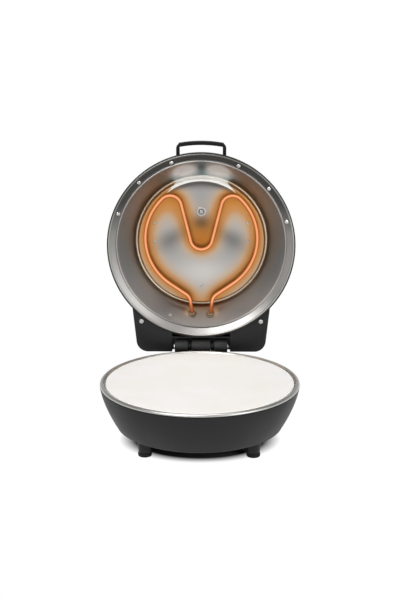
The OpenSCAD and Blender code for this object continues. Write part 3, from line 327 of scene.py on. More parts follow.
@dataclass
class Nodes:
    """A short way to write a node tree.

    Attributes:
        tree: The tree to write into.
    """

    tree: bpy.types.NodeTree

    def add(self, kind: str, **values: object) -> bpy.types.Node:
        """Adds a node and sets its properties.

        Args:
            kind: The node's class name.
            **values: Properties of the node.

        Returns:
            The node.
        """
        node = self.tree.nodes.new(kind)
        for key, value in values.items():
            setattr(node, key, value)
        return node

    def link(self, source: bpy.types.NodeSocket, target: bpy.types.NodeSocket) -> None:
        """Joins two sockets."""
        self.tree.links.new(source, target)

    def math(self, kind: str, a: object, b: object = 0.0) -> bpy.types.NodeSocket:
        """Adds a Math node.

        Args:
            kind: Its operation.
            a: First socket or number.
            b: Second socket or number.

        Returns:
            Its output.
        """
        node = self.add("ShaderNodeMath", operation=kind)
        for place, value in enumerate((a, b)):
            if isinstance(value, bpy.types.NodeSocket):
                self.link(value, node.inputs[place])
            else:
                node.inputs[place].default_value = value
        return node.outputs[0]

    def product(self, *values: object) -> bpy.types.NodeSocket:
        """Multiplies values with each other.

        Args:
            *values: Sockets or numbers, two or more.

        Returns:
            Their product.
        """
        total = values[0]
        for value in values[1:]:
            total = self.math("MULTIPLY", total, value)
        return total

    def mix(self, amount: object, a: object, b: object) -> bpy.types.NodeSocket:
        """Mixes two colours.

        Args:
            amount: Share of the second, a socket or a number.
            a: First colour or socket.
            b: Second colour or socket.

        Returns:
            The mixed colour.
        """
        node = self.add("ShaderNodeMix", data_type="RGBA")
        for place, value in ((0, amount), (6, a), (7, b)):
            if isinstance(value, bpy.types.NodeSocket):
                self.link(value, node.inputs[place])
            elif place == 0:
                node.inputs[0].default_value = value
            else:
                node.inputs[place].default_value = (*value, 1.0)
        return node.outputs[2]

    def ramp(self, value: bpy.types.NodeSocket, stops: Sequence[tuple[float, Colour]]) -> bpy.types.NodeSocket:
        """Adds a colour ramp.

        Args:
            value: What runs along it.
            stops: Its places and colours, of which there are two or more.

        Returns:
            Its colour.
        """
        node = self.add("ShaderNodeValToRGB")
        elements = node.color_ramp.elements
        for _ in stops[2:]:
            elements.new(1.0)
        for element, (place, _) in zip(elements, stops):
            element.position = place
        for element, (_, colour) in zip(elements, stops):
            element.color = (*colour, 1.0)
        self.link(value, node.inputs[0])
        return node.outputs[0]

    def attribute(self, name: str, output: str = "Fac") -> bpy.types.NodeSocket:
        """Reads a mesh attribute.

        Args:
            name: Its name.
            output: The node's output to use.

        Returns:
            That output.
        """
        return self.add("ShaderNodeAttribute", attribute_name=name).outputs[output]

    def spread(self, value: bpy.types.NodeSocket, low: float, high: float, to_low: float,
               to_high: float) -> bpy.types.NodeSocket:
        """Maps a value from one range to another, clamped.

        Args:
            value: The socket.
            low: Low end of its range.
            high: High end of its range.
            to_low: Result at the low end.
            to_high: Result at the high end.

        Returns:
            The mapped value.
        """
        node = self.add("ShaderNodeMapRange")
        for place, number in ((1, low), (2, high), (3, to_low), (4, to_high)):
            node.inputs[place].default_value = number
        self.link(value, node.inputs[0])
        return node.outputs[0]


def new_group(name: str, inputs: Sequence[tuple[str, str, float]], outputs: Sequence[str]) -> tuple[
        bpy.types.NodeTree, Nodes, bpy.types.Node, bpy.types.Node]:
    """Starts a shader node group.

    Args:
        name: Its name.
        inputs: Name, socket type and first value of each input.
        outputs: Names of its outputs, all floats.

    Returns:
        The tree, its writer, its input node and its output node.
    """
    tree = bpy.data.node_groups.new(name, "ShaderNodeTree")
    for label, kind, value in inputs:
        socket = tree.interface.new_socket(name=label, in_out="INPUT", socket_type=kind)
        if kind == "NodeSocketFloat":
            socket.default_value = value
    for label in outputs:
        tree.interface.new_socket(name=label, in_out="OUTPUT", socket_type="NodeSocketFloat")
    nodes = Nodes(tree)
    return tree, nodes, nodes.add("NodeGroupInput"), nodes.add("NodeGroupOutput")


def grain_group() -> bpy.types.NodeTree:
    """Builds the fine grain of moulded, painted and cast surfaces, with slow patches over it.

    Returns:
        A group with inputs Vector, Scale and Patch scale, and outputs Height and Patches.
    """
    tree, n, given, out = new_group("surface_grain", (("Vector", "NodeSocketVector", 0.0),
                                    ("Scale", "NodeSocketFloat", 900.0), ("Patch scale", "NodeSocketFloat", 12.0)),
                                    ("Height", "Patches"))
    fine = n.add("ShaderNodeTexNoise")
    fine.inputs["Detail"].default_value = 3.0
    fine.inputs["Roughness"].default_value = 0.6
    slow = n.add("ShaderNodeTexNoise")
    slow.inputs["Detail"].default_value = 4.0
    slow.inputs["Roughness"].default_value = 0.55
    for node, scale in ((fine, "Scale"), (slow, "Patch scale")):
        n.link(given.outputs["Vector"], node.inputs["Vector"])
        n.link(given.outputs[scale], node.inputs["Scale"])
    n.link(fine.outputs["Fac"], out.inputs["Height"])
    n.link(n.spread(slow.outputs["Fac"], 0.35, 0.65, 0.0, 1.0), out.inputs["Patches"])
    return tree


# Scales of a brush's marks: round the piece, and across it for the fine marks and the broad streaks
AROUND_SCALE = 9.0
MARK_SCALE = 2600.0
STREAK_SCALE = 420.0


def brush_group() -> bpy.types.NodeTree:
    """Builds the marks that a spinning brush leaves on sheet metal.

    Returns:
        A group with inputs UV, Around and Across, and outputs Height and Streaks.
    """
    tree, n, given, out = new_group("brush_marks", (("UV", "NodeSocketVector", 0.0),
                                    ("Around", "NodeSocketFloat", AROUND_SCALE),
                                    ("Across", "NodeSocketFloat", MARK_SCALE)), ("Height", "Streaks"))
    split = n.add("ShaderNodeSeparateXYZ")
    n.link(given.outputs["UV"], split.inputs[0])
    turn = n.product(split.outputs["X"], math.tau)
    # The pattern runs on a circle, so that it meets itself where u starts again
    ring = [n.product(n.math(way, turn), given.outputs["Around"]) for way in ("COSINE", "SINE")]
    for label, scale, detail in (("Height", given.outputs["Across"], 2.0), ("Streaks", STREAK_SCALE, 3.0)):
        place = n.add("ShaderNodeCombineXYZ")
        for socket, value in zip(place.inputs, (*ring, n.product(split.outputs["Y"], scale))):
            n.link(value, socket)
        noise = n.add("ShaderNodeTexNoise")
        noise.inputs["Scale"].default_value = 1.0
        noise.inputs["Detail"].default_value = detail
        n.link(place.outputs[0], noise.inputs["Vector"])
        n.link(noise.outputs["Fac"], out.inputs[label])
    return tree


class Groups:
    """The node groups, each built once.

    Attributes:
        built: The groups so far, by the name of the function that builds each.
    """

    built: dict[str, bpy.types.NodeTree] = {}

    @classmethod
    def use(cls, n: Nodes, maker: Callable[[], bpy.types.NodeTree]) -> bpy.types.Node:
        """Places a group in a tree.

        Args:
            n: The tree's writer.
            maker: The function that builds the group.

        Returns:
            The group's node.
        """
        if maker.__name__ not in cls.built:
            cls.built[maker.__name__] = maker()
        node = n.add("ShaderNodeGroup")
        node.node_tree = cls.built[maker.__name__]
        return node


@dataclass(frozen=True)
class Finish:
    """A finish made from one Principled shader.

    Attributes:
        name: The material's name.
        colour: Base colour, linear.
        roughness: Middle roughness.
        metallic: 1 for metal.
        specular: Specular level.
        coat: Weight of a clear coat.
        coat_roughness: Roughness of that coat.
        grain: Size of the fine grain, in grains per metre.
        bump: Depth of the grain in millimetres.
        patch: Change of roughness between the slow patches.
        shade: Change of colour between the slow patches.
        patch_scale: Number of slow patches per metre.
    """

    name: str
    colour: Colour
    roughness: float
    metallic: float = 0.0
    specular: float = 0.5
    coat: float = 0.0
    coat_roughness: float = 0.2
    grain: float = 1400.0
    bump: float = 0.02
    patch: float = 0.05
    shade: float = 0.08
    patch_scale: float = 14.0

    def start(self) -> tuple[bpy.types.Material, Nodes, bpy.types.Node]:
        """Starts the material with the values that are the same all over it.

        Returns:
            The new material, its writer and its Principled shader.
        """
        material = bpy.data.materials.new(self.name)
        material.use_nodes = True
        n = Nodes(material.node_tree)
        shader = material.node_tree.nodes["Principled BSDF"]
        shader.inputs["Base Color"].default_value = (*self.colour, 1.0)
        shader.inputs["Metallic"].default_value = self.metallic
        shader.inputs["Specular IOR Level"].default_value = self.specular
        shader.inputs["Coat Weight"].default_value = self.coat
        shader.inputs["Coat Roughness"].default_value = self.coat_roughness
        material.diffuse_color = (*self.colour, 1.0)
        return material, n, shader

    def build(self) -> bpy.types.Material:
        """Builds the material, with grain, slow patches and a little change of colour.

        Returns:
            The material.
        """
        material, n, shader = self.start()
        grain = self.lay_grain(n, shader)
        n.link(n.mix(grain.outputs["Patches"], *self.shades()), shader.inputs["Base Color"])
        return material

    def lay_grain(self, n: Nodes, shader: bpy.types.Node) -> bpy.types.Node:
        """Lays the fine grain and the slow patches on the shader's normal and roughness.

        Args:
            n: The tree's writer.
            shader: The Principled shader.

        Returns:
            The grain's group node.
        """
        grain = Groups.use(n, grain_group)
        n.link(n.add("ShaderNodeTexCoord").outputs["Object"], grain.inputs["Vector"])
        grain.inputs["Scale"].default_value = self.grain
        grain.inputs["Patch scale"].default_value = self.patch_scale
        self.vary_roughness(n, shader, grain.outputs["Patches"], 0.0, 1.0)
        self.raise_grain(n, shader, grain.outputs["Height"])
        return grain

    def shades(self) -> tuple[Colour, Colour]:
        """Works out how far the colour changes.

        Returns:
            Its darkest and its lightest shade.
        """
        dark = tuple(c * (1 - self.shade) for c in self.colour)
        light = tuple(min(1.0, c * (1 + self.shade)) for c in self.colour)
        return dark, light

    def vary_roughness(self, n: Nodes, shader: bpy.types.Node, by: bpy.types.NodeSocket, low: float,
                       high: float) -> None:
        """Makes the roughness follow a value.

        Args:
            n: The tree's writer.
            shader: The Principled shader.
            by: The value.
            low: The value that gives the least roughness.
            high: The value that gives the most.
        """
        n.link(n.spread(by, low, high, self.roughness - self.patch, self.roughness + self.patch),
               shader.inputs["Roughness"])

    def raise_grain(self, n: Nodes, shader: bpy.types.Node, height: bpy.types.NodeSocket) -> None:
        """Feeds a height to the shader's normal.

        Args:
            n: The tree's writer.
            shader: The Principled shader.
            height: The height, from 0 to 1.
        """
        bump = n.add("ShaderNodeBump")
        bump.inputs["Strength"].default_value = 1.0
        bump.inputs["Distance"].default_value = self.bump * MM
        n.link(height, bump.inputs["Height"])
        n.link(bump.outputs[0], shader.inputs["Normal"])


# Colours of the tube's orange glow painted on the reflector: place on the ramp, colour, share
PAINTED_GLOW_SHADES = ((0.0, (0.62, 0.5, 0.4), 0.0), (0.3, (0.62, 0.4, 0.22), 0.68), (0.5, (0.6, 0.28, 0.09), 0.92),
               (0.75, (0.6, 0.25, 0.06), 1.0), (1.0, (0.5, 0.18, 0.035), 1.0))
# Painted reflection on the ring: light in its lower half, dark in its upper half where it mirrors dark surroundings
RING_SHADES = ((0.0, (0.42, 0.41, 0.39), 0.0), (0.5, (0.16, 0.16, 0.156), 0.8), (1.0, (0.075, 0.074, 0.071), 1.0))
# Colours of the glowing tube, from its back to its bright front
GLOW_SHADES = ((0.0, (0.01, 0.003, 0.001)), (0.3, (0.16, 0.03, 0.004)), (0.66, (0.44, 0.1, 0.018)),
               (0.87, (0.86, 0.32, 0.13)), (1.0, (0.96, 0.43, 0.2)))


@dataclass(frozen=True)
class SpunMetal(Finish):
    """Sheet metal with the marks of a spinning brush, which follow the piece's UV map.

    Attributes:
        metallic: 1, as for all bare metal.
        stretch: How far highlights stretch across the marks.
        ramp_by: Name of the mesh attribute that runs along the ramp.
        ramp: Colours of that ramp, each with its place and its share.
    """

    metallic: float = 1.0
    stretch: float = 0.6
    ramp_by: str = ""
    ramp: tuple[tuple[float, Colour, float], ...] = ()

    def build(self) -> bpy.types.Material:
        """Builds the material, with brush marks and stretched highlights.

        Returns:
            The material.
        """
        material, n, shader = self.start()
        shader.inputs["Anisotropic"].default_value = self.stretch
        marks = Groups.use(n, brush_group)
        uv = n.add("ShaderNodeUVMap", uv_map="UVMap")
        n.link(uv.outputs[0], marks.inputs["UV"])
        tangent = n.add("ShaderNodeTangent", direction_type="UV_MAP", uv_map="UVMap")
        n.link(tangent.outputs[0], shader.inputs["Tangent"])
        streaks = marks.outputs["Streaks"]
        n.link(self.tone(n, shader, n.mix(streaks, *self.shades())), shader.inputs["Base Color"])
        self.vary_roughness(n, shader, streaks, 0.3, 0.7)
        self.raise_grain(n, shader, marks.outputs["Height"])
        return material

    def tone(self, n: Nodes, shader: bpy.types.Node, colour: bpy.types.NodeSocket) -> bpy.types.NodeSocket:
        """Lays the ramp over the colour, where the finish has one.

        Args:
            n: The tree's writer.
            shader: The Principled shader.
            colour: The brushed metal's colour.

        Returns:
            The toned colour.
        """
        if not self.ramp:
            return colour
        along = n.attribute(self.ramp_by)
        share = n.ramp(along, [(place, (amount,) * 3) for place, _, amount in self.ramp])
        return n.mix(share, colour, n.ramp(along, [(place, tint) for place, tint, _ in self.ramp]))


@dataclass(frozen=True)
class DishMetal(SpunMetal):
    """The reflector's metal, with painted reflections, highlights and shade, and the tube's glow painted on it.

    The mesh gives "sheen", where a half is plain, and "dish", which holds the distance across, the
    height towards the handle and the distance from the middle, in millimetres.

    Attributes:
        edge_r: Radius where the crescent of painted reflection under the handle starts, on the middle line.
        edge_curve: Fall of that radius away from the middle line, for each square millimetre.
        crescent_low: Lowest height of that crescent.
        end_up: Height where the lines that cut its ends would cross the middle line.
        end_fall: Fall of those lines for each millimetre across.
        crescent: Colour of that painted reflection.
        lip_r: Radius of the highlight painted along the side wall's foot.
        lip: Colour of that painted highlight.
        wall: Cool tint painted on the side wall, which offsets the orange light that the tube casts on it.
        wall_share: Most that the wall takes of it.
        wall_fade: Width over which the wall takes it on, from the lip.
        wall_start: Height from which the wall has that colour in full.
        wall_end: Height below which it has none of it.
        handle_ups: Heights between which it grows weaker, towards the handle.
        handle_share: Share of it left by the handle.
        bead_r: Radius where the bead starts.
        light: Colour of the painted highlights.
        dark: Colour of the painted shade.
        dark_share: Most that the painted shade covers.
        soft: Width of the crescent's soft edges.
        shadow_w: Width of the shade painted along the crescent.
        shadow_share: Strength of that painted shade.
        shadow_rise: Height over which the painted shade sets in.
        lip_half: Half width of the painted lip highlight, where it is full and where it ends.
        glint_from: Sheen from which the metal is made matt and pale, as a painted highlight.
        glint_share: How matt it gets.
        matt_metallic: Metallic value of what is wholly matt.
    """

    edge_r: float = 110.5
    edge_curve: float = 0.0005
    crescent_low: float = 90.0
    end_up: float = 160.6
    end_fall: float = 1.127
    crescent: Colour = (0.97, 0.95, 0.9)
    lip_r: float = 119.3
    lip: Colour = (1.0, 0.94, 0.76)
    wall: Colour = (0.235, 0.35, 0.41)
    wall_share: float = 0.9
    wall_fade: float = 4.0
    wall_start: float = -90.0
    wall_end: float = -138.0
    handle_ups: Point = (110.0, 140.0)
    handle_share: float = 0.5
    bead_r: float = 151.0
    light: Colour = (0.86, 0.83, 0.8)
    dark: Colour = (0.03, 0.028, 0.025)
    dark_share: float = 0.92
    soft: float = 0.9
    shadow_w: float = 24.0
    shadow_share: float = 0.62
    shadow_rise: float = 12.0
    lip_half: Point = (0.9, 1.5)
    glint_from: float = 0.75
    glint_share: float = 0.7
    matt_metallic: float = 0.15

    def tone(self, n: Nodes, shader: bpy.types.Node, colour: bpy.types.NodeSocket) -> bpy.types.NodeSocket:
        """Lays painted light, the tube's painted glow, painted shade, the painted crescent reflection and the painted
        lip highlight over the colour.

        Args:
            n: The tree's writer.
            shader: The Principled shader.
            colour: The brushed metal's colour.

        Returns:
            The toned colour.
        """
        split = n.add("ShaderNodeSeparateXYZ")
        n.link(n.attribute("dish", "Vector"), split.inputs[0])
        across, up, reach = n.math("ABSOLUTE", split.outputs["X"]), split.outputs["Y"], split.outputs["Z"]
        # Cool tint painted on the side wall against the tube's orange light
        side = n.product(n.spread(reach, self.lip_r, self.lip_r + self.wall_fade, 0.0, self.wall_share),
                         n.spread(up, self.wall_end, self.wall_start, 0.0, 1.0),
                         n.spread(reach, self.bead_r - 1, self.bead_r, 1.0, 0.0),
                         n.spread(up, *self.handle_ups, 1.0, self.handle_share))
        colour = n.mix(side, colour, self.wall)
        # Painted light and painted shade from the sheen, with the tube's painted glow laid between them
        sheen = n.attribute("sheen")
        colour = n.mix(n.spread(sheen, 0.5, 1.0, 0.0, 1.0), colour, self.light)
        colour = super().tone(n, shader, colour)
        colour = n.mix(n.spread(sheen, 0.5, 0.0, 0.0, self.dark_share), colour, self.dark)
        # Painted reflection: a pale crescent under the handle, painted shade along its lower edge, and a painted
        # highlight along the lip
        edge = n.math("ADD", reach, n.product(across, across, self.edge_curve))
        falling = n.math("ADD", up, n.product(across, self.end_fall))
        zone = n.product(n.spread(falling, self.end_up - self.soft, self.end_up, 1.0, 0.0),
                         n.spread(up, self.crescent_low - 1, self.crescent_low, 0.0, 1.0))
        pale = n.product(n.spread(edge, self.edge_r, self.edge_r + self.soft, 0.0, 1.0),
                         n.spread(reach, self.lip_r - 0.4, self.lip_r, 1.0, 0.0), zone)
        shadow = n.product(n.spread(edge, self.edge_r - self.shadow_w, self.edge_r - 1, 0.0, self.shadow_share),
                           n.spread(edge, self.edge_r, self.edge_r + self.soft, 1.0, 0.0),
                           n.spread(up, self.crescent_low, self.crescent_low + self.shadow_rise, 0.0, 1.0))
        colour = n.mix(shadow, colour, self.dark)
        line = n.spread(n.math("ABSOLUTE", n.math("SUBTRACT", reach, self.lip_r)), *self.lip_half, 1.0, 0.0)
        glint = n.product(n.spread(sheen, self.glint_from, 1.0, 0.0, self.glint_share),
                          n.spread(reach, self.lip_r + 1, self.lip_r + 3, 0.0, 1.0))
        matt = n.math("MAXIMUM", n.math("MAXIMUM", pale, line), glint)
        n.link(n.spread(matt, 0.0, 1.0, self.metallic, self.matt_metallic), shader.inputs["Metallic"])
        return n.mix(line, n.mix(pale, colour, self.crescent), n.mix(zone, self.lip, self.crescent))


@dataclass(frozen=True)
class FiredStone(Finish):
    """Pale fired stone with fine grit and a few darker specks.

    Attributes:
        patch_scale: Number of slow patches per metre.
        speck: Colour of the specks.
        speck_scale: Number of specks per metre.
        warmer: How much more the warm patches take from red, green and blue.
    """

    patch_scale: float = 9.0
    speck: Colour = (0.5, 0.42, 0.33)
    speck_scale: float = 260.0
    warmer: Colour = (0.6, 1.0, 1.6)

    def build(self) -> bpy.types.Material:
        """Builds the material, with specks among its grit.

        Returns:
            The material.
        """
        material, n, shader = self.start()
        grain = self.lay_grain(n, shader)
        cells = n.add("ShaderNodeTexVoronoi")
        cells.inputs["Scale"].default_value = self.speck_scale
        n.link(n.add("ShaderNodeTexCoord").outputs["Object"], cells.inputs["Vector"])
        specks = n.spread(cells.outputs["Distance"], 0.0, 0.16, 0.55, 0.0)
        warm = tuple(c * (1 - self.shade * k) for c, k in zip(self.colour, self.warmer))
        body = n.mix(grain.outputs["Patches"], self.colour, warm)
        n.link(n.mix(n.product(specks, grain.outputs["Height"]), body, self.speck), shader.inputs["Base Color"])
        return material


@dataclass(frozen=True)
class HotTube(Finish):
    """A heating tube that glows, by the mesh's attribute "glow".

    Attributes:
        patch_scale: Number of slow patches per metre.
        glow: Colours of its light, each with its place.
        glow_strength: Strength of its light.
    """

    patch_scale: float = 40.0
    glow: tuple[tuple[float, Colour], ...] = ()
    glow_strength: float = 1.0

    def build(self) -> bpy.types.Material:
        """Builds the material, which glows a little unevenly along the tube.

        Returns:
            The material.
        """
        material, n, shader = self.start()
        grain = self.lay_grain(n, shader)
        hot = n.product(n.attribute("glow"), n.spread(grain.outputs["Patches"], 0, 1, 0.95, 1.0))
        n.link(n.ramp(hot, self.glow), shader.inputs["Emission Color"])
        shader.inputs["Emission Strength"].default_value = self.glow_strength
        return material


@dataclass
class Finishes:
    """Every finish of the object, built once.

    Attributes:
        bowl_plastic: Satin moulding of the bowl and the feet.
        lid_paint: Satin paint of the dome and its housing.
        plate_paint: Black paint of the hinge's plates.
        rim_steel: Steel of the rolled rim.
        ring_steel: Brushed steel of the lid's ring, with its painted reflection.
        reflector_steel: Spun steel of the reflector, with painted reflections, shade and tube glow.
        sheet_steel: Plain sheet and the plain heads on it.
        dull_steel: Steel that heat has dulled, its brown also matching the tube's glow painted round the ferrules.
        plated_steel: Bright screws, pin and bezels.
        stone: Fired stone.
        hot_tube: The glowing tube.
        cold_tube: The lower tube, which doesn't glow.
        ceramic: Sleeves and terminal block.
        rubber: Soft pads and the cord's bush.
        grip_plastic: Handle, dial and spacers.
        fibre: Felt behind the reflector.
        lens: Lamp lenses.
        pointer: The dial's line.
    """

    bowl_plastic: bpy.types.Material = field(init=False)
    lid_paint: bpy.types.Material = field(init=False)
    plate_paint: bpy.types.Material = field(init=False)
    rim_steel: bpy.types.Material = field(init=False)
    ring_steel: bpy.types.Material = field(init=False)
    reflector_steel: bpy.types.Material = field(init=False)
    sheet_steel: bpy.types.Material = field(init=False)
    dull_steel: bpy.types.Material = field(init=False)
    plated_steel: bpy.types.Material = field(init=False)
    stone: bpy.types.Material = field(init=False)
    hot_tube: bpy.types.Material = field(init=False)
    cold_tube: bpy.types.Material = field(init=False)
    ceramic: bpy.types.Material = field(init=False)
    rubber: bpy.types.Material = field(init=False)
    grip_plastic: bpy.types.Material = field(init=False)
    fibre: bpy.types.Material = field(init=False)
    lens: bpy.types.Material = field(init=False)
    pointer: bpy.types.Material = field(init=False)

    def __post_init__(self) -> None:
        """Builds the materials."""
        self.bowl_plastic = Finish("bowl_satin_plastic", (0.01, 0.01, 0.0104), 0.5, grain=1500, bump=0.02,
                                   specular=0.3).build()
        self.lid_paint = Finish("lid_satin_paint", (0.018, 0.018, 0.018), 0.42, grain=420, bump=0.012, coat=0.15,
                                specular=0.4).build()
        self.plate_paint = Finish("plate_black_paint", (0.0115, 0.012, 0.0117), 0.5, grain=900, bump=0.015,
                                  specular=0.3).build()
        self.rim_steel = SpunMetal("rim_rolled_steel", (0.5, 0.5, 0.48), 0.34, bump=0.0008, shade=0.04, patch=0.02,
                                   stretch=0.2).build()
        self.ring_steel = SpunMetal("ring_brushed_steel", (0.42, 0.41, 0.39), 0.36, bump=0.0012, shade=0.06, patch=0.03,
                                    stretch=0.3, ramp_by="shade", ramp=RING_SHADES).build()
        self.reflector_steel = DishMetal("reflector_spun_steel", (0.36, 0.357, 0.35), 0.4, bump=0.001, shade=0.05,
                                         patch=0.03, stretch=0.3, ramp_by="painted_glow", ramp=PAINTED_GLOW_SHADES).build()
        self.dull_steel = Finish("dull_steel", (0.2, 0.15, 0.1), 0.45, metallic=1.0, grain=900, bump=0.004).build()
        self.sheet_steel = Finish("sheet_steel", (0.52, 0.51, 0.5), 0.35, metallic=1.0, grain=700, bump=0.004).build()
        self.plated_steel = Finish("plated_steel", (0.72, 0.71, 0.69), 0.26, metallic=1.0, grain=1600, bump=0.004,
                                   patch=0.08).build()
        self.stone = FiredStone("baking_stone", (0.93, 0.92, 0.9), 0.8, grain=1900, bump=0.05, shade=0.05).build()
        self.hot_tube = HotTube("glowing_tube", (0.1, 0.04, 0.02), 0.6, grain=1200, specular=0.2,
                                glow=GLOW_SHADES).build()
        self.cold_tube = Finish("cold_tube", (0.16, 0.13, 0.11), 0.5, metallic=1.0, grain=900, bump=0.01).build()
        self.ceramic = Finish("white_ceramic", (0.8, 0.78, 0.72), 0.45, grain=1300, bump=0.02).build()
        self.rubber = Finish("pad_rubber", (0.014, 0.014, 0.014), 0.7, grain=1800, bump=0.04, specular=0.25).build()
        self.grip_plastic = Finish("grip_plastic", (0.005, 0.005, 0.005), 0.45, grain=1300, bump=0.015,
                                   specular=0.15).build()
        self.fibre = Finish("fibre_felt", (0.76, 0.74, 0.68), 0.95, grain=500, bump=0.3, specular=0.1).build()
        self.lens = Finish("lamp_lens", (0.42, 0.02, 0.015), 0.12, coat=0.6, coat_roughness=0.05, grain=300,
                           bump=0.004).build()
        self.pointer = Finish("pointer_paint", (0.8, 0.8, 0.77), 0.5, grain=1500, bump=0.01).build()


# ------------------------------------------------------------------ base


@dataclass
class Base:
    """The lower half: its moulded shell, rim, stone, feet and hinge bracket.

    Attributes:
        finishes: The finishes.
        base_r: Outer radius at the lip.
        lip_z: Height of the lip.
        underside_z: Height of the flat underside.
        bowl_drop: Drop over which the side would curve in to nothing.
        bowl_bulge: Exponent of the side's curve.
        wall: Wall of the shell.
        service_r: Radius of the service opening.
        rim_w: Width of the rolled rim.
        rim_h: Height of the rolled rim.
        rim_t: Thickness of its steel.
        stone_r: Radius of the stone.
        stone_low: Height of the stone's underside.
        stone_top: Height of the stone's top.
        stone_round: Rounding of its upper edge.
        foot_reach: Distance of each foot from the middle.
        groove_h: Height of the groove under the rim.
        groove_in: Depth of that groove.
        feet_deg: Direction of each foot.
        boss_half: Half width of the boss that carries the hinge bracket.
        boss_in: Distance of the boss's upper inner edge from the middle.
        boss_back: Distance of its flat back from the middle.
        boss_low: Height of the foot of that back.
        boss_top: Height of its top.
        boss_toe: Drop of its slope to the shell.
        neck_deg: Direction of the neck that holds the cord's bush.
        neck_out: Distance of the neck's end from the middle.
        neck_z: Height of its middle.
        neck_l: Its length.
        neck_r: Its radius.
        neck_bore_r: Radius of its bore.
        foot_top_r: Radius of a foot where it meets the shell.
        foot_low_r: Radius of its lower end.
        foot_z: Height of that end.
        foot_bore_r: Radius of the hole for its screw.
        pad_r: Radius of a pad.
        pad_h: Height of a pad.
    """

    finishes: Finishes
    base_r: float = 169.3
    lip_z: float = 101.0
    underside_z: float = 28.0
    bowl_drop: float = 165.0
    bowl_bulge: float = 1.4
    wall: float = 2.5
    service_r: float = 90.0
    rim_w: float = 8.0
    rim_h: float = 4.0
    rim_t: float = 0.9
    stone_r: float = 160.0
    stone_low: float = 92.0
    stone_top: float = 104.0
    stone_round: float = 2.5
    foot_reach: float = 119.0
    groove_h: float = 1.5
    groove_in: float = 1.9
    feet_deg: tuple[float, ...] = (-41.0, 221.0, 50.0, 130.0)
    boss_half: float = 58.0
    boss_in: float = 141.0
    boss_back: float = 170.0
    boss_low: float = 50.0
    boss_top: float = 96.0
    boss_toe: float = 8.0
    neck_deg: float = 56.0
    neck_out: float = 162.3
    neck_z: float = 58.0
    neck_l: float = 24.0
    neck_r: float = 13.0
    neck_bore_r: float = 6.2
    foot_top_r: float = 13.0
    foot_low_r: float = 10.3
    foot_z: float = 4.0
    foot_bore_r: float = 2.2
    pad_r: float = 11.5
    pad_h: float = 6.0

    def side_r(self, z: float) -> float:
        """Returns the shell's radius at height z."""
        return self.base_r * math.sqrt(1 - ((self.lip_z - z) / self.bowl_drop) ** self.bowl_bulge)

    def build(self) -> None:
        """Builds every piece of the base."""
        self.shell()
        self.rim()
        self.stone()
        self.feet()
        self.bracket()
        self.inside()

    def shell(self) -> None:
        """Builds the moulded shell with the bosses at its back."""
        turn_z = self.underside_z + 5
        side_top = self.lip_z - self.groove_h
        side = [side_top + (turn_z - side_top) * i / 40 for i in range(41)]
        under_r = self.side_r(turn_z) - 3
        outer = [(self.side_r(z), z) for z in side]
        foot = [(under_r + 1.6, self.underside_z + 2.2), (under_r - 1.5, self.underside_z + 0.7),
                (under_r - 6, self.underside_z), (self.service_r, self.underside_z)]
        inner = [(self.service_r, self.underside_z + self.wall)] + [(self.side_r(z) - self.wall, z)
                                                                  for z in reversed(side)]
        groove_r = self.side_r(side_top) - self.groove_in
        groove = [(self.base_r - 4, self.lip_z), (groove_r, self.lip_z), (groove_r, side_top + 0.3),
                  (self.side_r(side_top) - 0.4, side_top + 0.3)]
        shape = Shape().spun(outer + foot + inner[:-1] + [(self.base_r - 4, side_top)] + groove, 192)
        back, top, toe = self.boss_back, self.boss_top, self.boss_low - self.boss_toe
        turn = Matrix.Rotation(math.radians(90), 4, "Z") @ Matrix.Rotation(math.radians(90), 4, "X")
        shape.slab([(self.boss_in, top), (back, top), (back, self.boss_low), (self.side_r(toe) - 3, toe),
                    (self.boss_in - 9, toe)], -self.boss_half, self.boss_half, place=turn, bevel=1.2)
        neck = (Matrix.Rotation(math.radians(self.neck_deg), 4, "Z")
                @ Matrix.Translation((self.neck_out, 0, self.neck_z)) @ Matrix.Rotation(math.radians(90), 4, "Y"))
        bore, outside, length = self.neck_bore_r, self.neck_r, self.neck_l
        shape.spun(rounded([(bore, -length, 0), (outside, -length, 0), (outside, 0, 1.4), (bore, 0, 0.4)]), 48,
                   place=neck)
        shape.piece("base_shell", self.finishes.bowl_plastic, Body.BASE, "base_plastic", ("base_bowl",))
        refined_node("cord_inlet", "cord_grommet", self.finishes.rubber, Body.BASE, "rubber", bevel=0.6)

    def rim(self) -> None:
        """Builds the rolled steel rim."""
        mid = self.base_r - self.rim_w / 2
        half = self.rim_w / 2
        outer = [(mid + half * math.cos(a), self.lip_z + self.rim_h * math.sin(a))
                 for a in (math.pi * i / 24 for i in range(25))]
        inner = [(mid - (half - self.rim_t) * math.cos(a), self.lip_z + (self.rim_h - self.rim_t) * math.sin(a))
                 for a in (math.pi * i / 24 for i in range(25))]
        shape = Shape().spun(outer + inner, 256)
        shape.around_uv()
        shape.piece("rolled_rim", self.finishes.rim_steel, Body.BASE, "rim_steel", ("rim_ring",))

    def stone(self) -> None:
        """Builds the baking stone with its rounded edge."""
        r, low, top, edge = self.stone_r, self.stone_low, self.stone_top, self.stone_round
        rings = [(r * i / 12, top) for i in range(11)]
        profile = [(0, low), (r - 1, low), (r, low + 1)] + arc((r - edge, top - edge), edge, 0, 90, 8) + rings[::-1]
        shape = Shape().spun(profile, 192, closed=False)
        shape.piece("pizza_stone", self.finishes.stone, Body.BASE, "stone", ("baking_stone",))

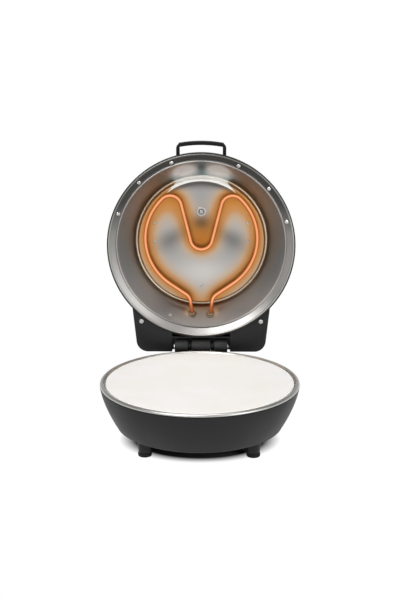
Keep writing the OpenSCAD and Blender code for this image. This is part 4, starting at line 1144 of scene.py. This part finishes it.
    def feet(self) -> None:
        """Builds the four feet and their rubber pads."""
        feet, pads = Shape(), Shape()
        bore, low, foot_r, pad_r, pad_h = self.foot_bore_r, self.foot_z, self.foot_low_r, self.pad_r, self.pad_h
        for deg in self.feet_deg:
            place = Matrix.Rotation(math.radians(deg), 4, "Z") @ Matrix.Translation((self.foot_reach, 0, 0))
            feet.spun(rounded([(bore, low, 0), (foot_r, low, 0.3), (self.foot_top_r, self.underside_z, 0),
                               (bore, self.underside_z, 0)]), 48, place=place)
            pads.spun(rounded([(0, 0, 0), (pad_r - 1, 0, 0), (pad_r, 1, 0.6), (pad_r, pad_h, 0.8),
                               (foot_r + 0.3, pad_h, 0.2), (foot_r, low + 0.2, 0), (0, low - 0.2, 0)]), 48,
                      closed=False, place=place)
        feet.piece("shell_feet", self.finishes.bowl_plastic, Body.BASE, "base_plastic", ("feet",))
        pads.piece("rubber_pads", self.finishes.rubber, Body.BASE, "rubber", ("foot_pads",))

    def bracket(self) -> None:
        """Dresses the hinge's fixed half."""
        f = self.finishes
        refined_node("hinge_bracket", "bracket_with_ears", f.plate_paint, Body.BASE, "bracket_steel", bevel=0.8)
        refined_node("hinge_pin", "hinge_rod", f.plated_steel, Body.BASE, "steel", bevel=0.4)
        refined_node("hinge_spacers", "rod_spacers", f.grip_plastic, Body.BASE, "grip_plastic", bevel=0.4)
        refined_node("hinge_bracket_screws", "bracket_screw_heads", f.plated_steel, Body.BASE, "steel", bevel=0.2)

    def inside(self) -> None:
        """Gives each CAD node that is mostly hidden its finish."""
        f = self.finishes
        for node, material in (("base_pan", f.sheet_steel), ("lower_element", f.cold_tube),
                               ("lower_element_posts", f.plated_steel), ("lower_terminal_sleeves", f.ceramic),
                               ("heat_shield", f.sheet_steel), ("shield_posts", f.plated_steel),
                               ("bottom_plate", f.plate_paint), ("bottom_plate_screws", f.plated_steel),
                               ("foot_screws", f.plated_steel), ("terminal_block", f.ceramic),
                               ("terminal_screws", f.plated_steel)):
            dress(node, material)


def dress(node: str, material: bpy.types.Material) -> None:
    """Gives a CAD node its finish.

    Args:
        node: The CAD node.
        material: The finish.
    """
    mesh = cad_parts[node].data
    mesh.materials.clear()
    mesh.materials.append(material)


# ------------------------------------------------------------------ lid


@dataclass
class HeatingTube:
    """The bent tube in the lid, as a chain of arcs and straights in the plane of the dish.

    Attributes:
        finishes: The finishes.
        tube_r: Radius of the tube.
        depth: Depth of its middle from the lid's edge plane.
        outer_r: Radius of the large outer arc.
        outer_up: Height of that arc's centre towards the handle.
        lobe_r: Radius of the lobes.
        lobe_x: Distance of each lobe's centre from the middle line.
        dip_r: Radius of the dip.
        dip_floor: Height of the dip's lowest point.
        shoulder_deg: Direction of the straight run below the outer arc.
        shoulder_run: Its length.
        exit_r: Radius of the last bend.
        exit_deg: Direction of the ends.
        exit_run: Length of each end.
        cold_run: Length at each end that stays dark.
        warm_run: Length after it over which the glow sets in.
        front_deg: Tilt towards the handle of the side where the tube's glow is painted brightest; its edges and back
            are painted darker.
    """

    finishes: Finishes
    tube_r: float = 3.25
    depth: float = 34.0
    outer_r: float = 102.0
    outer_up: float = 7.0
    lobe_r: float = 20.4
    lobe_x: float = 56.5
    dip_r: float = 20.0
    dip_floor: float = -13.0
    shoulder_deg: float = 214.3
    shoulder_run: float = 36.0
    exit_r: float = 18.0
    exit_deg: float = 262.0
    exit_run: float = 36.15
    cold_run: float = 3.0
    warm_run: float = 8.0
    front_deg: float = 15.0

    def legs(self) -> list[tuple[str, tuple[float, ...]]]:
        """Works out the runs of the tube's right half, from the dip.

        Returns:
            Arcs, as the centre's x and y and a turn in degrees, and straights, as dx and dy.
        """
        lobe = Vector((self.lobe_x, self.outer_up + math.sqrt((self.outer_r - self.lobe_r) ** 2 - self.lobe_x ** 2)))
        dip = Vector((0.0, self.dip_floor + self.dip_r))
        meets = math.degrees(math.atan2(lobe.y - self.outer_up, lobe.x))
        gap = lobe - dip
        side = math.degrees(math.atan2(gap.y, gap.x) + math.asin((self.dip_r + self.lobe_r) / gap.length))
        way = Vector((math.cos(math.radians(side)), math.sin(math.radians(side))))
        left = Vector((-way.y, way.x))
        low = dip - self.dip_r * left
        high = lobe + self.lobe_r * left
        run = Vector((math.cos(math.radians(self.shoulder_deg)), math.sin(math.radians(self.shoulder_deg))))
        run_left = Vector((-run.y, run.x))
        start = Vector((0, self.outer_up)) + self.outer_r * run_left
        end = start + self.shoulder_run * run
        bend = end + self.exit_r * run_left
        out = Vector((math.cos(math.radians(self.exit_deg)), math.sin(math.radians(self.exit_deg))))
        return [("arc", (dip.x, dip.y, side)), ("line", tuple(high - low)),
                ("arc", (lobe.x, lobe.y, -(side + 90 - meets))),
                ("arc", (0.0, self.outer_up, -(meets - (self.shoulder_deg - 270)))),
                ("line", tuple(end - start)), ("arc", (bend.x, bend.y, self.exit_deg - self.shoulder_deg)),
                ("line", tuple(out * self.exit_run))]

    def centreline(self, step: float = 3.0) -> list[Vector]:
        """Returns points along the whole tube, left end to right end.

        Args:
            step: Distance between points.

        Returns:
            The points, in the plane of the dish.
        """
        here = Vector((0.0, self.dip_floor))
        half = [here.copy()]
        for kind, data in self.legs():
            if kind == "arc":
                centre = Vector(data[:2])
                arm = here - centre
                count = max(2, round(abs(math.radians(data[2])) * arm.length / step))
                for i in range(1, count + 1):
                    turn = Matrix.Rotation(math.radians(data[2] * i / count), 2)
                    half.append(centre + turn @ arm)
            else:
                count = max(1, round(Vector(data).length / step))
                half += [here + Vector(data) * i / count for i in range(1, count + 1)]
            here = half[-1].copy()
        return [Vector((-p.x, p.y)) for p in reversed(half[1:])] + half

    def build(self, place: Matrix) -> None:
        """Builds the tube by spinning and extruding one ring along its runs.

        Args:
            place: Transform of the lid.
        """
        bm = bmesh.new()
        start = Matrix.Translation((0, self.dip_floor, 0)) @ Matrix.Rotation(math.radians(90), 4, "Y")
        ring = bmesh.ops.create_circle(bm, cap_ends=False, radius=self.tube_r, segments=28, matrix=start)["verts"]
        edges = list({e for v in ring for e in v.link_edges})
        geom: list = list(ring) + edges
        for kind, data in self.legs():
            if kind == "arc":
                steps = max(4, round(abs(data[2]) / 5))
                out = bmesh.ops.spin(bm, geom=geom, cent=(data[0], data[1], 0), axis=(0, 0, 1),
                                     angle=math.radians(data[2]), steps=steps, use_duplicate=False)["geom_last"]
            else:
                only = [g for g in geom if isinstance(g, bmesh.types.BMEdge)]
                out = bmesh.ops.extrude_edge_only(bm, edges=only)["geom"]
                moved = [g for g in out if isinstance(g, bmesh.types.BMVert)]
                bmesh.ops.translate(bm, verts=moved, vec=(data[0], data[1], 0))
            geom = [g for g in out if isinstance(g, (bmesh.types.BMVert, bmesh.types.BMEdge))]
        bmesh.ops.contextual_create(bm, geom=[g for g in geom if isinstance(g, bmesh.types.BMEdge)])
        bmesh.ops.mirror(bm, geom=bm.verts[:] + bm.edges[:] + bm.faces[:], axis="X", merge_dist=1e-3)
        bmesh.ops.remove_doubles(bm, verts=bm.verts, dist=1e-3)
        bmesh.ops.recalc_face_normals(bm, faces=bm.faces)
        ends = self.centreline()
        # Painted shade on the glow: full on the side facing out of the dish, fading towards the tube's edges and dark
        # behind
        front = Vector((0, math.sin(math.radians(self.front_deg)), -math.cos(math.radians(self.front_deg))))
        glow = bm.verts.layers.float.new("glow")
        bm.normal_update()
        for v in bm.verts:
            away = min((Vector(v.co[:2]) - ends[0]).length, (Vector(v.co[:2]) - ends[-1]).length)
            hot = min(1.0, max(0.0, (away - self.cold_run) / self.warm_run))
            v[glow] = hot * max(0.0, v.normal.dot(front))
        shape = Shape(bm)
        dish = place @ Matrix.Translation((0, 0, self.depth)) @ Matrix.Scale(-1, 4, (0, 1, 0))
        bmesh.ops.transform(bm, matrix=dish, verts=bm.verts)
        bmesh.ops.recalc_face_normals(bm, faces=bm.faces)
        shape.piece("upper_tube", self.finishes.hot_tube, Body.LID, "tube", ("upper_element",),
                    place=Matrix.Identity(4))


@dataclass(frozen=True)
class DishPoint:
    """A point of the dish or the ring.

    Attributes:
        across: Distance to the right of the middle line.
        up: Distance from the middle towards the handle.
    """

    across: float
    up: float

    @property
    def reach(self) -> float:
        """Returns its distance from the middle."""
        return math.hypot(self.across, self.up)

    @property
    def turn(self) -> float:
        """Returns its angle from the handle, in degrees, the same on both sides."""
        return abs(math.degrees(math.atan2(self.across, self.up)))


@dataclass(frozen=True)
class Patch:
    """A soft oval patch of painted light, shade or tube glow on the dish, with its twin across the middle line.

    Attributes:
        amount: How much it adds at its middle.
        across: Distance of its middle from the middle line.
        up: Height of its middle towards the handle.
        half_along: Half its length.
        half_off: Half its width.
        slant_deg: Fall of its length, away from the middle line.
    """

    amount: float
    across: float
    up: float
    half_along: float
    half_off: float
    slant_deg: float = 0.0

    def adds(self, point: DishPoint) -> float:
        """Tells what the patch adds.

        Args:
            point: The point of the dish.

        Returns:
            The amount that it adds there.
        """
        slant = math.radians(self.slant_deg)
        aside, rise = abs(point.across) - self.across, point.up - self.up
        along = aside * math.cos(slant) - rise * math.sin(slant)
        off = aside * math.sin(slant) + rise * math.cos(slant)
        return self.amount * bump(along, 0, self.half_along) * bump(off, 0, self.half_off)


@dataclass(frozen=True)
class Streak:
    """A soft streak of light or shade up the side wall, with its twin across the middle line.

    Attributes:
        amount: How much it adds at its middle.
        turn: Angle of its middle from the handle, in degrees.
        half_turn: Half its width, in degrees.
        fades: Whether it fades towards the wall's top and foot.
    """

    amount: float
    turn: float
    half_turn: float
    fades: bool = False

    def adds(self, turn: float, middle: float = 1.0) -> float:
        """Tells what the streak adds.

        Args:
            turn: Angle of the point from the handle, in degrees.
            middle: 1 half way up the wall, and less above and below.

        Returns:
            The amount that it adds there.
        """
        return self.amount * bump(turn, self.turn, self.half_turn) * (middle if self.fades else 1.0)


@dataclass(frozen=True)
class DishShades:
    """Painted reflections, light and shade on the dish and ring, and the tube's glow painted on them, placed by
    formula.

    Sheen is painted light and shade: a half where the metal is plain, more where it is lighter and less where it is
    darker.

    Attributes:
        path_step: Distance between the points that stand for the tube.
        halo: Half width of the tube's wide painted glow.
        halo_share: Strength of that glow.
        edge: Half width of the deeper painted glow close to the tube.
        edge_share: Strength of that glow.
        trough_warm: Painted glow of the trough.
        trough_radii: Radii between which the disc becomes the trough.
        disc_warm: Further patches of painted glow on the disc.
        wall_warm: Painted glow at the side wall's foot.
        cool_turns: Angles between which the wall under the handle takes the painted glow.
        cool_share: Share of that glow left under the handle.
        wall_halo: How far that glow reaches up the wall, at its least.
        wide_turns: Angles between which it reaches twice as far.
        low_warm: Painted glow of the wall between the tube's ends.
        low_half: Half width of that glow, in degrees.
        low_start: Radius up to which it is full.
        low_halo: How far it reaches up the wall.
        exit_warm: Patches of painted glow by the tube's ends.
        disc_lights: Patches of painted light and shade on the disc.
        disc_rim: Shade along the disc's edge: amount, radius and half width.
        rim_turns: Angles between which that shade ends.
        trough_light: Sheen of the trough.
        trough_lift: What it gains near the hinge.
        lift_turns: Angles between which it gains it.
        wall_middle: Half height of the streaks that fade, as a share of the wall.
        wall_streaks: Painted streaks of reflected light and shade on the side wall.
        foot_dark: Shade along the wall's foot.
        foot_start: Radius where that shade starts to fade.
        foot_halo: How far it reaches up the wall.
        foot_turns: Angles between which it sets in.
        exit_light: Light patches by the tube's ends.
        ring_falls: Each share of the ring's painted shade, and the angles between which it ends.
        ring_band: A band of painted shade on its lower sides.
        roll_share: Share of the ring's painted shade that its rolled edge takes.
    """

    path_step: float = 4.0
    halo: float = 14.5
    halo_share: float = 0.62
    edge: float = 3.3
    edge_share: float = 0.42
    trough_warm: float = 0.35
    trough_radii: Point = (114.0, 116.0)
    disc_warm: tuple[Patch, ...] = (Patch(0.16, 58, 58, 22, 26), Patch(0.42, 0, 18, 18, 26))
    wall_warm: float = 0.25
    cool_turns: Point = (22.0, 42.0)
    cool_share: float = 0.1
    wall_halo: float = 8.0
    wide_turns: Point = (80.0, 130.0)
    low_warm: float = 0.34
    low_half: float = 22.0
    low_start: float = 121.5
    low_halo: float = 16.0
    exit_warm: Patch = Patch(0.2, 22, -131, 12, 8)
    disc_lights: tuple[Patch, ...] = (Patch(0.26, 0, -60, 58, 32), Patch(0.1, 61, 26, 20, 20),
                                      Patch(-0.27, 54, 6, 30, 17, slant_deg=36), Patch(-0.36, 0, 35, 18, 17))
    disc_rim: tuple[float, float, float] = (-0.3, 108.0, 4.0)
    rim_turns: Point = (24.0, 44.0)
    trough_light: float = 0.2
    trough_lift: float = 0.2
    lift_turns: Point = (150.0, 172.0)
    wall_middle: float = 0.4
    wall_streaks: tuple[Streak, ...] = (Streak(0.8, 13, 10, fades=True), Streak(-0.3, 0, 3.2, fades=True),
                                        Streak(0.16, 135, 22), Streak(0.14, 50, 26, fades=True),
                                        Streak(-0.3, 180, 26))
    foot_dark: float = 0.1
    foot_start: float = 121.2
    foot_halo: float = 6.0
    foot_turns: Point = (25.0, 40.0)
    exit_light: Patch = Patch(0.4, 25.5, -131, 5, 4.5)
    ring_falls: tuple[tuple[float, float, float], ...] = ((0.58, 60.0, 84.0), (0.42, 80.0, 165.0))
    ring_band: Streak = Streak(0.2, 132, 20)
    roll_share: float = 0.55

    def disc_painted_glow(self, at: DishPoint, path: np.ndarray) -> float:
        """Tells how much of the tube's glow is painted on a point of the disc or trough.

        Args:
            at: The point.
            path: Points along the tube, path_step apart.

        Returns:
            The painted glow.
        """
        away = ((path - (at.across, at.up)) ** 2).sum(axis=1)
        wide = float(np.exp(-away / (2 * self.halo ** 2)).sum()) * self.path_step / (self.halo * math.sqrt(math.tau))
        close = math.exp(-float(away.min()) / (2 * self.edge ** 2))
        warm = self.halo_share * wide + self.edge_share * close
        warm += self.trough_warm * (1 - fall(at.reach, *self.trough_radii))
        return warm + sum(patch.adds(at) for patch in self.disc_warm)

    def wall_painted_glow(self, at: DishPoint, foot_r: float) -> float:
        """Tells how much of the tube's glow is painted on a point of the side wall.

        Args:
            at: The point.
            foot_r: Radius of the wall's foot.

        Returns:
            The painted glow.
        """
        side = self.cool_share + (1 - self.cool_share) * (1 - fall(at.turn, *self.cool_turns))
        width = self.wall_halo * (1 + fall(at.turn, *self.wide_turns))
        warm = self.wall_warm * side * math.exp(-max(0.0, at.reach - foot_r) / width)
        low = math.exp(-max(0.0, at.reach - self.low_start) / self.low_halo)
        return warm + self.low_warm * bump(at.turn, 180, self.low_half) * low + self.exit_warm.adds(at)

    def disc_sheen(self, at: DishPoint, disc_r: float) -> float:
        """Tells how light a point of the disc or trough looks.

        Args:
            at: The point.
            disc_r: Radius of the disc's edge.

        Returns:
            Its sheen.
        """
        if at.reach > disc_r + 0.4:
            return self.trough_light + self.trough_lift * (1 - fall(at.turn, *self.lift_turns))
        amount, middle, half = self.disc_rim
        rim = amount * bump(at.reach, middle, half) * fall(at.turn, *self.rim_turns)
        return 0.5 + sum(patch.adds(at) for patch in self.disc_lights) + rim

    def wall_sheen(self, at: DishPoint, foot_r: float, top_r: float) -> float:
        """Tells how light a point of the side wall looks.

        Args:
            at: The point.
            foot_r: Radius of the wall's foot.
            top_r: Radius of its top.

        Returns:
            Its sheen.
        """
        rise = (at.reach - foot_r) / (top_r - foot_r)
        middle = bump(rise, 0.5, self.wall_middle)
        foot = math.exp(-max(0.0, at.reach - self.foot_start) / self.foot_halo)
        dark = self.foot_dark * foot * (1 - fall(at.turn, *self.foot_turns))
        return 0.5 + sum(streak.adds(at.turn, middle) for streak in self.wall_streaks) - dark + self.exit_light.adds(at)

    def ring_painted_shade(self, turn: float) -> float:
        """Tells how much painted shade the ring takes, more towards the handle, where it mirrors dark surroundings.

        Args:
            turn: Angle from the handle, in degrees.

        Returns:
            Its darkness, from 0 to about 1.
        """
        return sum(share * fall(turn, start, end) for share, start, end in self.ring_falls) + self.ring_band.adds(turn)


@dataclass
class Lid:
    """The upper half: dome, ring, reflector, screws, cover plate, handle, dial and lamps.

    Attributes:
        finishes: The finishes.
        place: Where the lid's own coordinates lie.
        shades: The painted reflections, light, shade and tube glow on the reflector.
        tube: The heating tube in the dish.
        ring_roll: Radius of the ring's rolled edge.
        roll_mid_r: Radius of that roll's middle.
        flange_in_r: Inner radius of the sloping flange.
        flange_slope: Its slope in degrees.
        flange_t: Its thickness along the lid's axis.
        edge_lift: Distance from the edge plane to the rolled edge.
        bead_mid_r: Radius of the reflector's bead.
        bead_z: Depth of the bead.
        bead_r: Radius of the bead's section.
        wall_foot_r: Radius where the side wall ends.
        trough_depth: Depth there.
        trough_w: Width of the trough's floor.
        disc_r: Radius of the raised disc's edge.
        disc_depth: Depth of the disc.
        sheet: Thickness of the reflector's sheet.
        lap: Width of the reflector's edge behind the flange.
        lap_back: Distance of that edge behind the flange's face.
        lap_t: Its thickness.
        roll_deg: Sweep of the rolled edge and of the bead.
    """

    finishes: Finishes
    place: LidPlace = field(default_factory=LidPlace)
    shades: DishShades = field(default_factory=DishShades)
    tube: HeatingTube = field(init=False)
    ring_roll: float = 1.9
    roll_mid_r: float = 166.5
    flange_in_r: float = 155.5
    flange_slope: float = 36.0
    flange_t: float = 0.99
    edge_lift: float = 0.2
    bead_mid_r: float = 153.0
    bead_z: float = 10.87
    bead_r: float = 1.5
    wall_foot_r: float = 119.5
    trough_depth: float = 56.0
    trough_w: float = 2.6
    disc_r: float = 114.5
    disc_depth: float = 47.0
    sheet: float = 0.7
    lap: float = 7.0
    lap_back: float = 1.1
    lap_t: float = 0.8
    roll_deg: float = 345.0

    def build(self) -> None:
        """Builds every piece of the lid."""
        self.tube = HeatingTube(self.finishes)
        self.tube.build(self.place.matrix())
        self.reflector()
        self.ring()
        self.fittings()
        self.hidden()

    def flange_z(self, r: float) -> float:
        """Returns the depth of the flange's face at radius r."""
        return self.ring_roll + (self.roll_mid_r - r) * math.tan(math.radians(self.flange_slope))

    def ring(self) -> None:
        """Builds the steel ring round the lid's mouth: a rolled edge and a sloping flange."""
        lift = self.ring_roll + self.edge_lift
        shape = Shape().spun(arc((self.roll_mid_r, lift), self.ring_roll, 0, self.roll_deg, 23), 256)
        inner, outer = self.flange_in_r, self.roll_mid_r
        steps = [outer + (inner - outer) * i / 6 for i in range(7)]
        shape.spun([(r, self.flange_z(r)) for r in steps] + [(inner, self.flange_z(inner) + self.flange_t),
                   (outer, self.flange_z(outer) + self.flange_t)], 256)
        shape.around_uv()
        # Painted reflection: the ring is shaded darker towards the handle, its rolled edge less so
        shade = shape.bm.verts.layers.float.new("shade")
        for v in shape.bm.verts:
            at = DishPoint(v.co.x, -v.co.y)
            dark = self.shades.ring_painted_shade(at.turn)
            v[shade] = dark if at.reach < outer - 1.6 else self.shades.roll_share * dark
        shape.piece("mouth_ring", self.finishes.ring_steel, Body.LID, "rim_steel", ("lid_ring",),
                    place=self.place.matrix(), sharp_deg=50)

    def reflector(self) -> None:
        """Builds the spun reflector, with its bead, its wall, its trough and its raised disc."""
        wall = [(self.bead_mid_r + (self.wall_foot_r - self.bead_mid_r) * i / 16,
                 self.bead_z + (self.trough_depth - self.bead_z) * i / 16) for i in range(16)]
        foot = rounded([(self.wall_foot_r + 4, self.trough_depth - 4.2, 0), (self.wall_foot_r, self.trough_depth, 1.2),
                        (self.wall_foot_r - self.trough_w, self.trough_depth, 0.8),
                        (self.disc_r, self.disc_depth, 1.6), (self.disc_r - 6, self.disc_depth, 0)], 5)
        disc = [((self.disc_r - 6) * i / 54, self.disc_depth) for i in range(54)]
        face = wall[:15] + foot[1:-1] + disc[::-1]
        back = [(0, self.disc_depth + self.sheet), (self.disc_r - 2, self.disc_depth + self.sheet),
                (self.wall_foot_r - self.trough_w - 1, self.trough_depth + self.sheet),
                (self.wall_foot_r + 0.3, self.trough_depth + self.sheet), (self.bead_mid_r + 0.9, self.bead_z)]
        shape = Shape().spun(face + back, 288, closed=True)
        shape.spun(arc((self.bead_mid_r, self.bead_z), self.bead_r, 0, self.roll_deg, 23), 256)
        edge = [(self.bead_mid_r, self.bead_z + self.lap_t - 0.2)]
        edge += [(r, self.flange_z(r) + self.lap_back) for r in (self.flange_in_r, self.flange_in_r + self.lap)]
        shape.spun(edge + [(r, z + self.lap_t) for r, z in reversed(edge)], 128)
        shape.around_uv()
        self.mark_dish(shape.bm)
        shape.piece("spun_reflector", self.finishes.reflector_steel, Body.LID, "sheet_steel", ("lid_reflector",),
                    place=self.place.matrix(), sharp_deg=48)

    def mark_dish(self, bm: bmesh.types.BMesh) -> None:
        """Writes each point's place in the dish, how much of the tube's glow is painted on it, and how much painted
        light or shade it takes.

        Args:
            bm: The reflector, in lid coordinates.
        """
        path = np.array([tuple(p) for p in self.tube.centreline(self.shades.path_step)])
        painted_glow = bm.verts.layers.float.new("painted_glow")
        sheen = bm.verts.layers.float.new("sheen")
        dish = bm.verts.layers.float_vector.new("dish")
        for v in bm.verts:
            at = DishPoint(v.co.x, -v.co.y)
            v[dish] = (at.across, at.up, at.reach)
            if at.reach < self.wall_foot_r + 0.4:
                warm = self.shades.disc_painted_glow(at, path)
                light = self.shades.disc_sheen(at, self.disc_r)
            else:
                warm = self.shades.wall_painted_glow(at, self.wall_foot_r)
                light = self.shades.wall_sheen(at, self.wall_foot_r, self.bead_mid_r)
            v[painted_glow] = min(1.0, warm)
            v[sheen] = min(1.0, max(0.0, light))

    def fittings(self) -> None:
        """Dresses the fittings that show: screws, rivets, plate, knuckle, handle, dial and lamps."""
        f = self.finishes
        lid = Body.LID
        refined_node("lid_shell", "dome_and_housing", f.lid_paint, lid, "lid_paint", bevel=0.0, sharp_deg=42)
        for node, name, finish in (
                ("ring_screws", "ring_screw_heads", f.plated_steel), ("disc_screws", "disc_screw_heads", f.sheet_steel),
                ("cover_plate_rivets", "plate_rivets", f.sheet_steel), ("disc_washer", "centre_washer", f.sheet_steel),
                ("element_ferrules", "tube_ferrules", f.dull_steel), ("lamp_bezels", "lamp_rims", f.plated_steel)):
            refined_node(node, name, finish, lid, "steel", bevel=0.25)
        refined_node("hinge_cover_plate", "cover_plate", f.plate_paint, lid, "bracket_steel", bevel=0.35)
        refined_node("lid_knuckle", "knuckle_block", f.plate_paint, lid, "bracket_steel", bevel=0.8)
        refined_node("handle", "lift_handle", f.grip_plastic, lid, "grip_plastic", bevel=1.4, segments=4)
        refined_node("lamp_lenses", "pilot_lenses", f.lens, lid, "lamp_red", bevel=0.3)
        refined_node("thermostat_dial", "fluted_dial", f.grip_plastic, Body.DIAL, "grip_plastic", bevel=0.3)
        refined_node("dial_pointer", "pointer_line", f.pointer, Body.DIAL, "pointer_white", bevel=0.15)

    def hidden(self) -> None:
        """Gives each CAD node inside the lid its finish."""
        f = self.finishes
        for node, material in (("upper_terminal_sleeves", f.ceramic), ("insulation_pad", f.fibre),
                               ("lid_knuckle_screws", f.plated_steel), ("handle_screws", f.plated_steel),
                               ("thermostat_body", f.ceramic), ("thermostat_bracket", f.plated_steel),
                               ("thermostat_nut", f.plated_steel), ("dial_spindle", f.plated_steel)):
            dress(node, material)


# ------------------------------------------------------------------ studio


@dataclass(frozen=True)
class Lamp:
    """A soft rectangular lamp.

    Attributes:
        name: Its name.
        spot: Where it hangs.
        aim: The point that it faces.
        size: Its width and height.
        power: Its power in watts.
    """

    name: str
    spot: Place
    aim: Place
    size: Point
    power: float


@dataclass
class Studio:
    """The floor, the lamps, the world and the camera.

    Attributes:
        size_px: Width and height of the photograph.
        focal_px: Focal length in its pixels.
        distance: Distance from the camera to its aim.
        elevation: Angle of the camera above the horizon in degrees.
        azimuth: Angle of the camera to the right in degrees.
        aim_x: Place across of the point that it looks at.
        aim_z: Height of that point.
        shadow_in: Reach of the floor's shaded zone.
        shadow_out: Reach from which the floor is white.
        shadow_squash: How much shorter that zone is towards the camera than across.
        shadow_grey: Grey painted on the floor in the shaded zone, deepening its shadow.
        floor_grey: Grey of the floor as it lights the object.
        lit_by: Brightness of the surround, for what it lights.
        overhead: Colour of the surround overhead, as metal shows it.
        overhead_at: Rise of a direction, as a sine, between which that colour sets in.
        hung: The lamps.
    """

    size_px: tuple[int, int] = (401, 601)
    focal_px: float = 1306.4
    distance: float = 2.179
    elevation: float = 15.28
    azimuth: float = 0.72
    aim_x: float = 0.0013
    aim_z: float = 0.2454
    shadow_in: float = 0.111
    shadow_out: float = 0.138
    shadow_squash: float = 1.25
    shadow_grey: float = 0.16
    floor_grey: float = 0.8
    lit_by: float = 0.5
    overhead: Colour = (0.22, 0.22, 0.23)
    overhead_at: Point = (0.1, 0.6)
    hung: tuple[Lamp, ...] = (Lamp("key", (-0.7, -1.3, 1.7), (0, 0.05, 0.2), (1.2, 0.9), 26.0),
                              Lamp("fill", (1.3, -1.1, 0.9), (0, 0.05, 0.2), (0.9, 1.2), 12.0),
                              Lamp("top", (0.0, 0.1, 1.9), (0, 0.05, 0.1), (1.0, 0.7), 14.0))

    def build(self) -> None:
        """Builds the studio."""
        self.camera()
        self.floor()
        self.world()
        self.lamps()

    def camera(self) -> None:
        """Places the camera."""
        data = bpy.data.cameras.new("view")
        data.sensor_fit = "VERTICAL"
        data.sensor_height = 36.0
        data.lens = self.focal_px * 36.0 / self.size_px[1]
        data.clip_end = 100.0
        cam = bpy.data.objects.new("view", data)
        bpy.context.scene.collection.objects.link(cam)
        el, az = math.radians(self.elevation), math.radians(self.azimuth)
        aim = Vector((self.aim_x, 0, self.aim_z))
        way = Vector((math.sin(az) * math.cos(el), -math.cos(az) * math.cos(el), math.sin(el)))
        cam.location = aim + way * self.distance
        cam.rotation_euler = (-way).to_track_quat("-Z", "Y").to_euler()
        bpy.context.scene.camera = cam

    def floor(self) -> None:
        """Lays a pale floor that goes to white away from the object and keeps its shadow, deepened by a dark grey
        painted under the base.
        """
        bm = bmesh.new()
        bmesh.ops.create_grid(bm, x_segments=2, y_segments=2, size=30.0)
        mesh = bpy.data.meshes.new("floor")
        bm.to_mesh(mesh)
        bm.free()
        floor = bpy.data.objects.new("floor", mesh)
        bpy.context.scene.collection.objects.link(floor)
        material = bpy.data.materials.new("floor_white")
        material.use_nodes = True
        n = Nodes(material.node_tree)
        shader = material.node_tree.nodes["Principled BSDF"]
        shader.inputs["Base Color"].default_value = (*(self.floor_grey,) * 3, 1)
        shader.inputs["Roughness"].default_value = 0.9
        shader.inputs["Specular IOR Level"].default_value = 0.1
        seen = self.seen(n)
        # The contact shadow shows in an oval under the base, where the floor is painted dark grey to deepen it, and the
        # floor is white round it
        place = n.add("ShaderNodeVectorMath", operation="MULTIPLY")
        n.link(n.add("ShaderNodeTexCoord").outputs["Object"], place.inputs[0])
        place.inputs[1].default_value = (1.0, self.shadow_squash, 0.0)
        reach = n.add("ShaderNodeVectorMath", operation="LENGTH")
        n.link(place.outputs[0], reach.inputs[0])
        far = n.spread(reach.outputs["Value"], self.shadow_in, self.shadow_out, 0.0, 1.0)
        white = n.add("ShaderNodeEmission")
        white.inputs["Strength"].default_value = 1.0
        near = n.add("ShaderNodeBsdfDiffuse")
        near.inputs["Color"].default_value = (*(self.shadow_grey,) * 3, 1)
        shown = n.add("ShaderNodeMixShader")
        n.link(far, shown.inputs[0])
        n.link(near.outputs[0], shown.inputs[1])
        n.link(white.outputs[0], shown.inputs[2])
        both = n.add("ShaderNodeMixShader")
        n.link(seen, both.inputs[0])
        n.link(shader.outputs[0], both.inputs[1])
        n.link(shown.outputs[0], both.inputs[2])
        n.link(both.outputs[0], material.node_tree.nodes["Material Output"].inputs[0])
        mesh.materials.append(material)

    @staticmethod
    def seen(n: Nodes) -> bpy.types.NodeSocket:
        """Tells what the camera sees, also in metal and through glass.

        Args:
            n: The tree's writer.

        Returns:
            A value that is 1 for what it sees.
        """
        path = n.add("ShaderNodeLightPath")
        direct = n.math("MAXIMUM", path.outputs["Is Camera Ray"], path.outputs["Is Glossy Ray"])
        return n.math("MAXIMUM", direct, path.outputs["Is Transmission Ray"])

    def world(self) -> None:
        """Makes a white surround, greyer overhead, and dimmer for what it lights."""
        world = bpy.data.worlds.new("surround")
        bpy.context.scene.world = world
        world.use_nodes = True
        n = Nodes(world.node_tree)
        back = world.node_tree.nodes["Background"]
        back.inputs["Strength"].default_value = self.lit_by
        shown = n.add("ShaderNodeBackground")
        split = n.add("ShaderNodeSeparateXYZ")
        n.link(n.add("ShaderNodeTexCoord").outputs["Generated"], split.inputs[0])
        n.link(n.mix(n.spread(split.outputs["Z"], *self.overhead_at, 0.0, 1.0), (1.0, 1.0, 1.0), self.overhead),
               shown.inputs["Color"])
        mix = n.add("ShaderNodeMixShader")
        n.link(self.seen(n), mix.inputs[0])
        n.link(back.outputs[0], mix.inputs[1])
        n.link(shown.outputs[0], mix.inputs[2])
        n.link(mix.outputs[0], world.node_tree.nodes["World Output"].inputs[0])

    def lamps(self) -> None:
        """Hangs the soft lamps."""
        for lamp in self.hung:
            data = bpy.data.lights.new(lamp.name, "AREA")
            data.shape = "RECTANGLE"
            data.size, data.size_y = lamp.size
            data.energy = lamp.power
            obj = bpy.data.objects.new(lamp.name, data)
            bpy.context.scene.collection.objects.link(obj)
            obj.location = lamp.spot
            obj.rotation_euler = (Vector(lamp.aim) - Vector(lamp.spot)).to_track_quat("-Z", "Y").to_euler()


def main() -> None:
    """Builds the studio, the base and the lid."""
    logging.basicConfig(level=logging.INFO, format="%(message)s")
    scene = bpy.context.scene
    scene.view_settings.view_transform = "Standard"
    Studio().build()
    finishes = Finishes()
    Base(finishes).build()
    Lid(finishes).build()


if __name__ == "__main__":
    main()
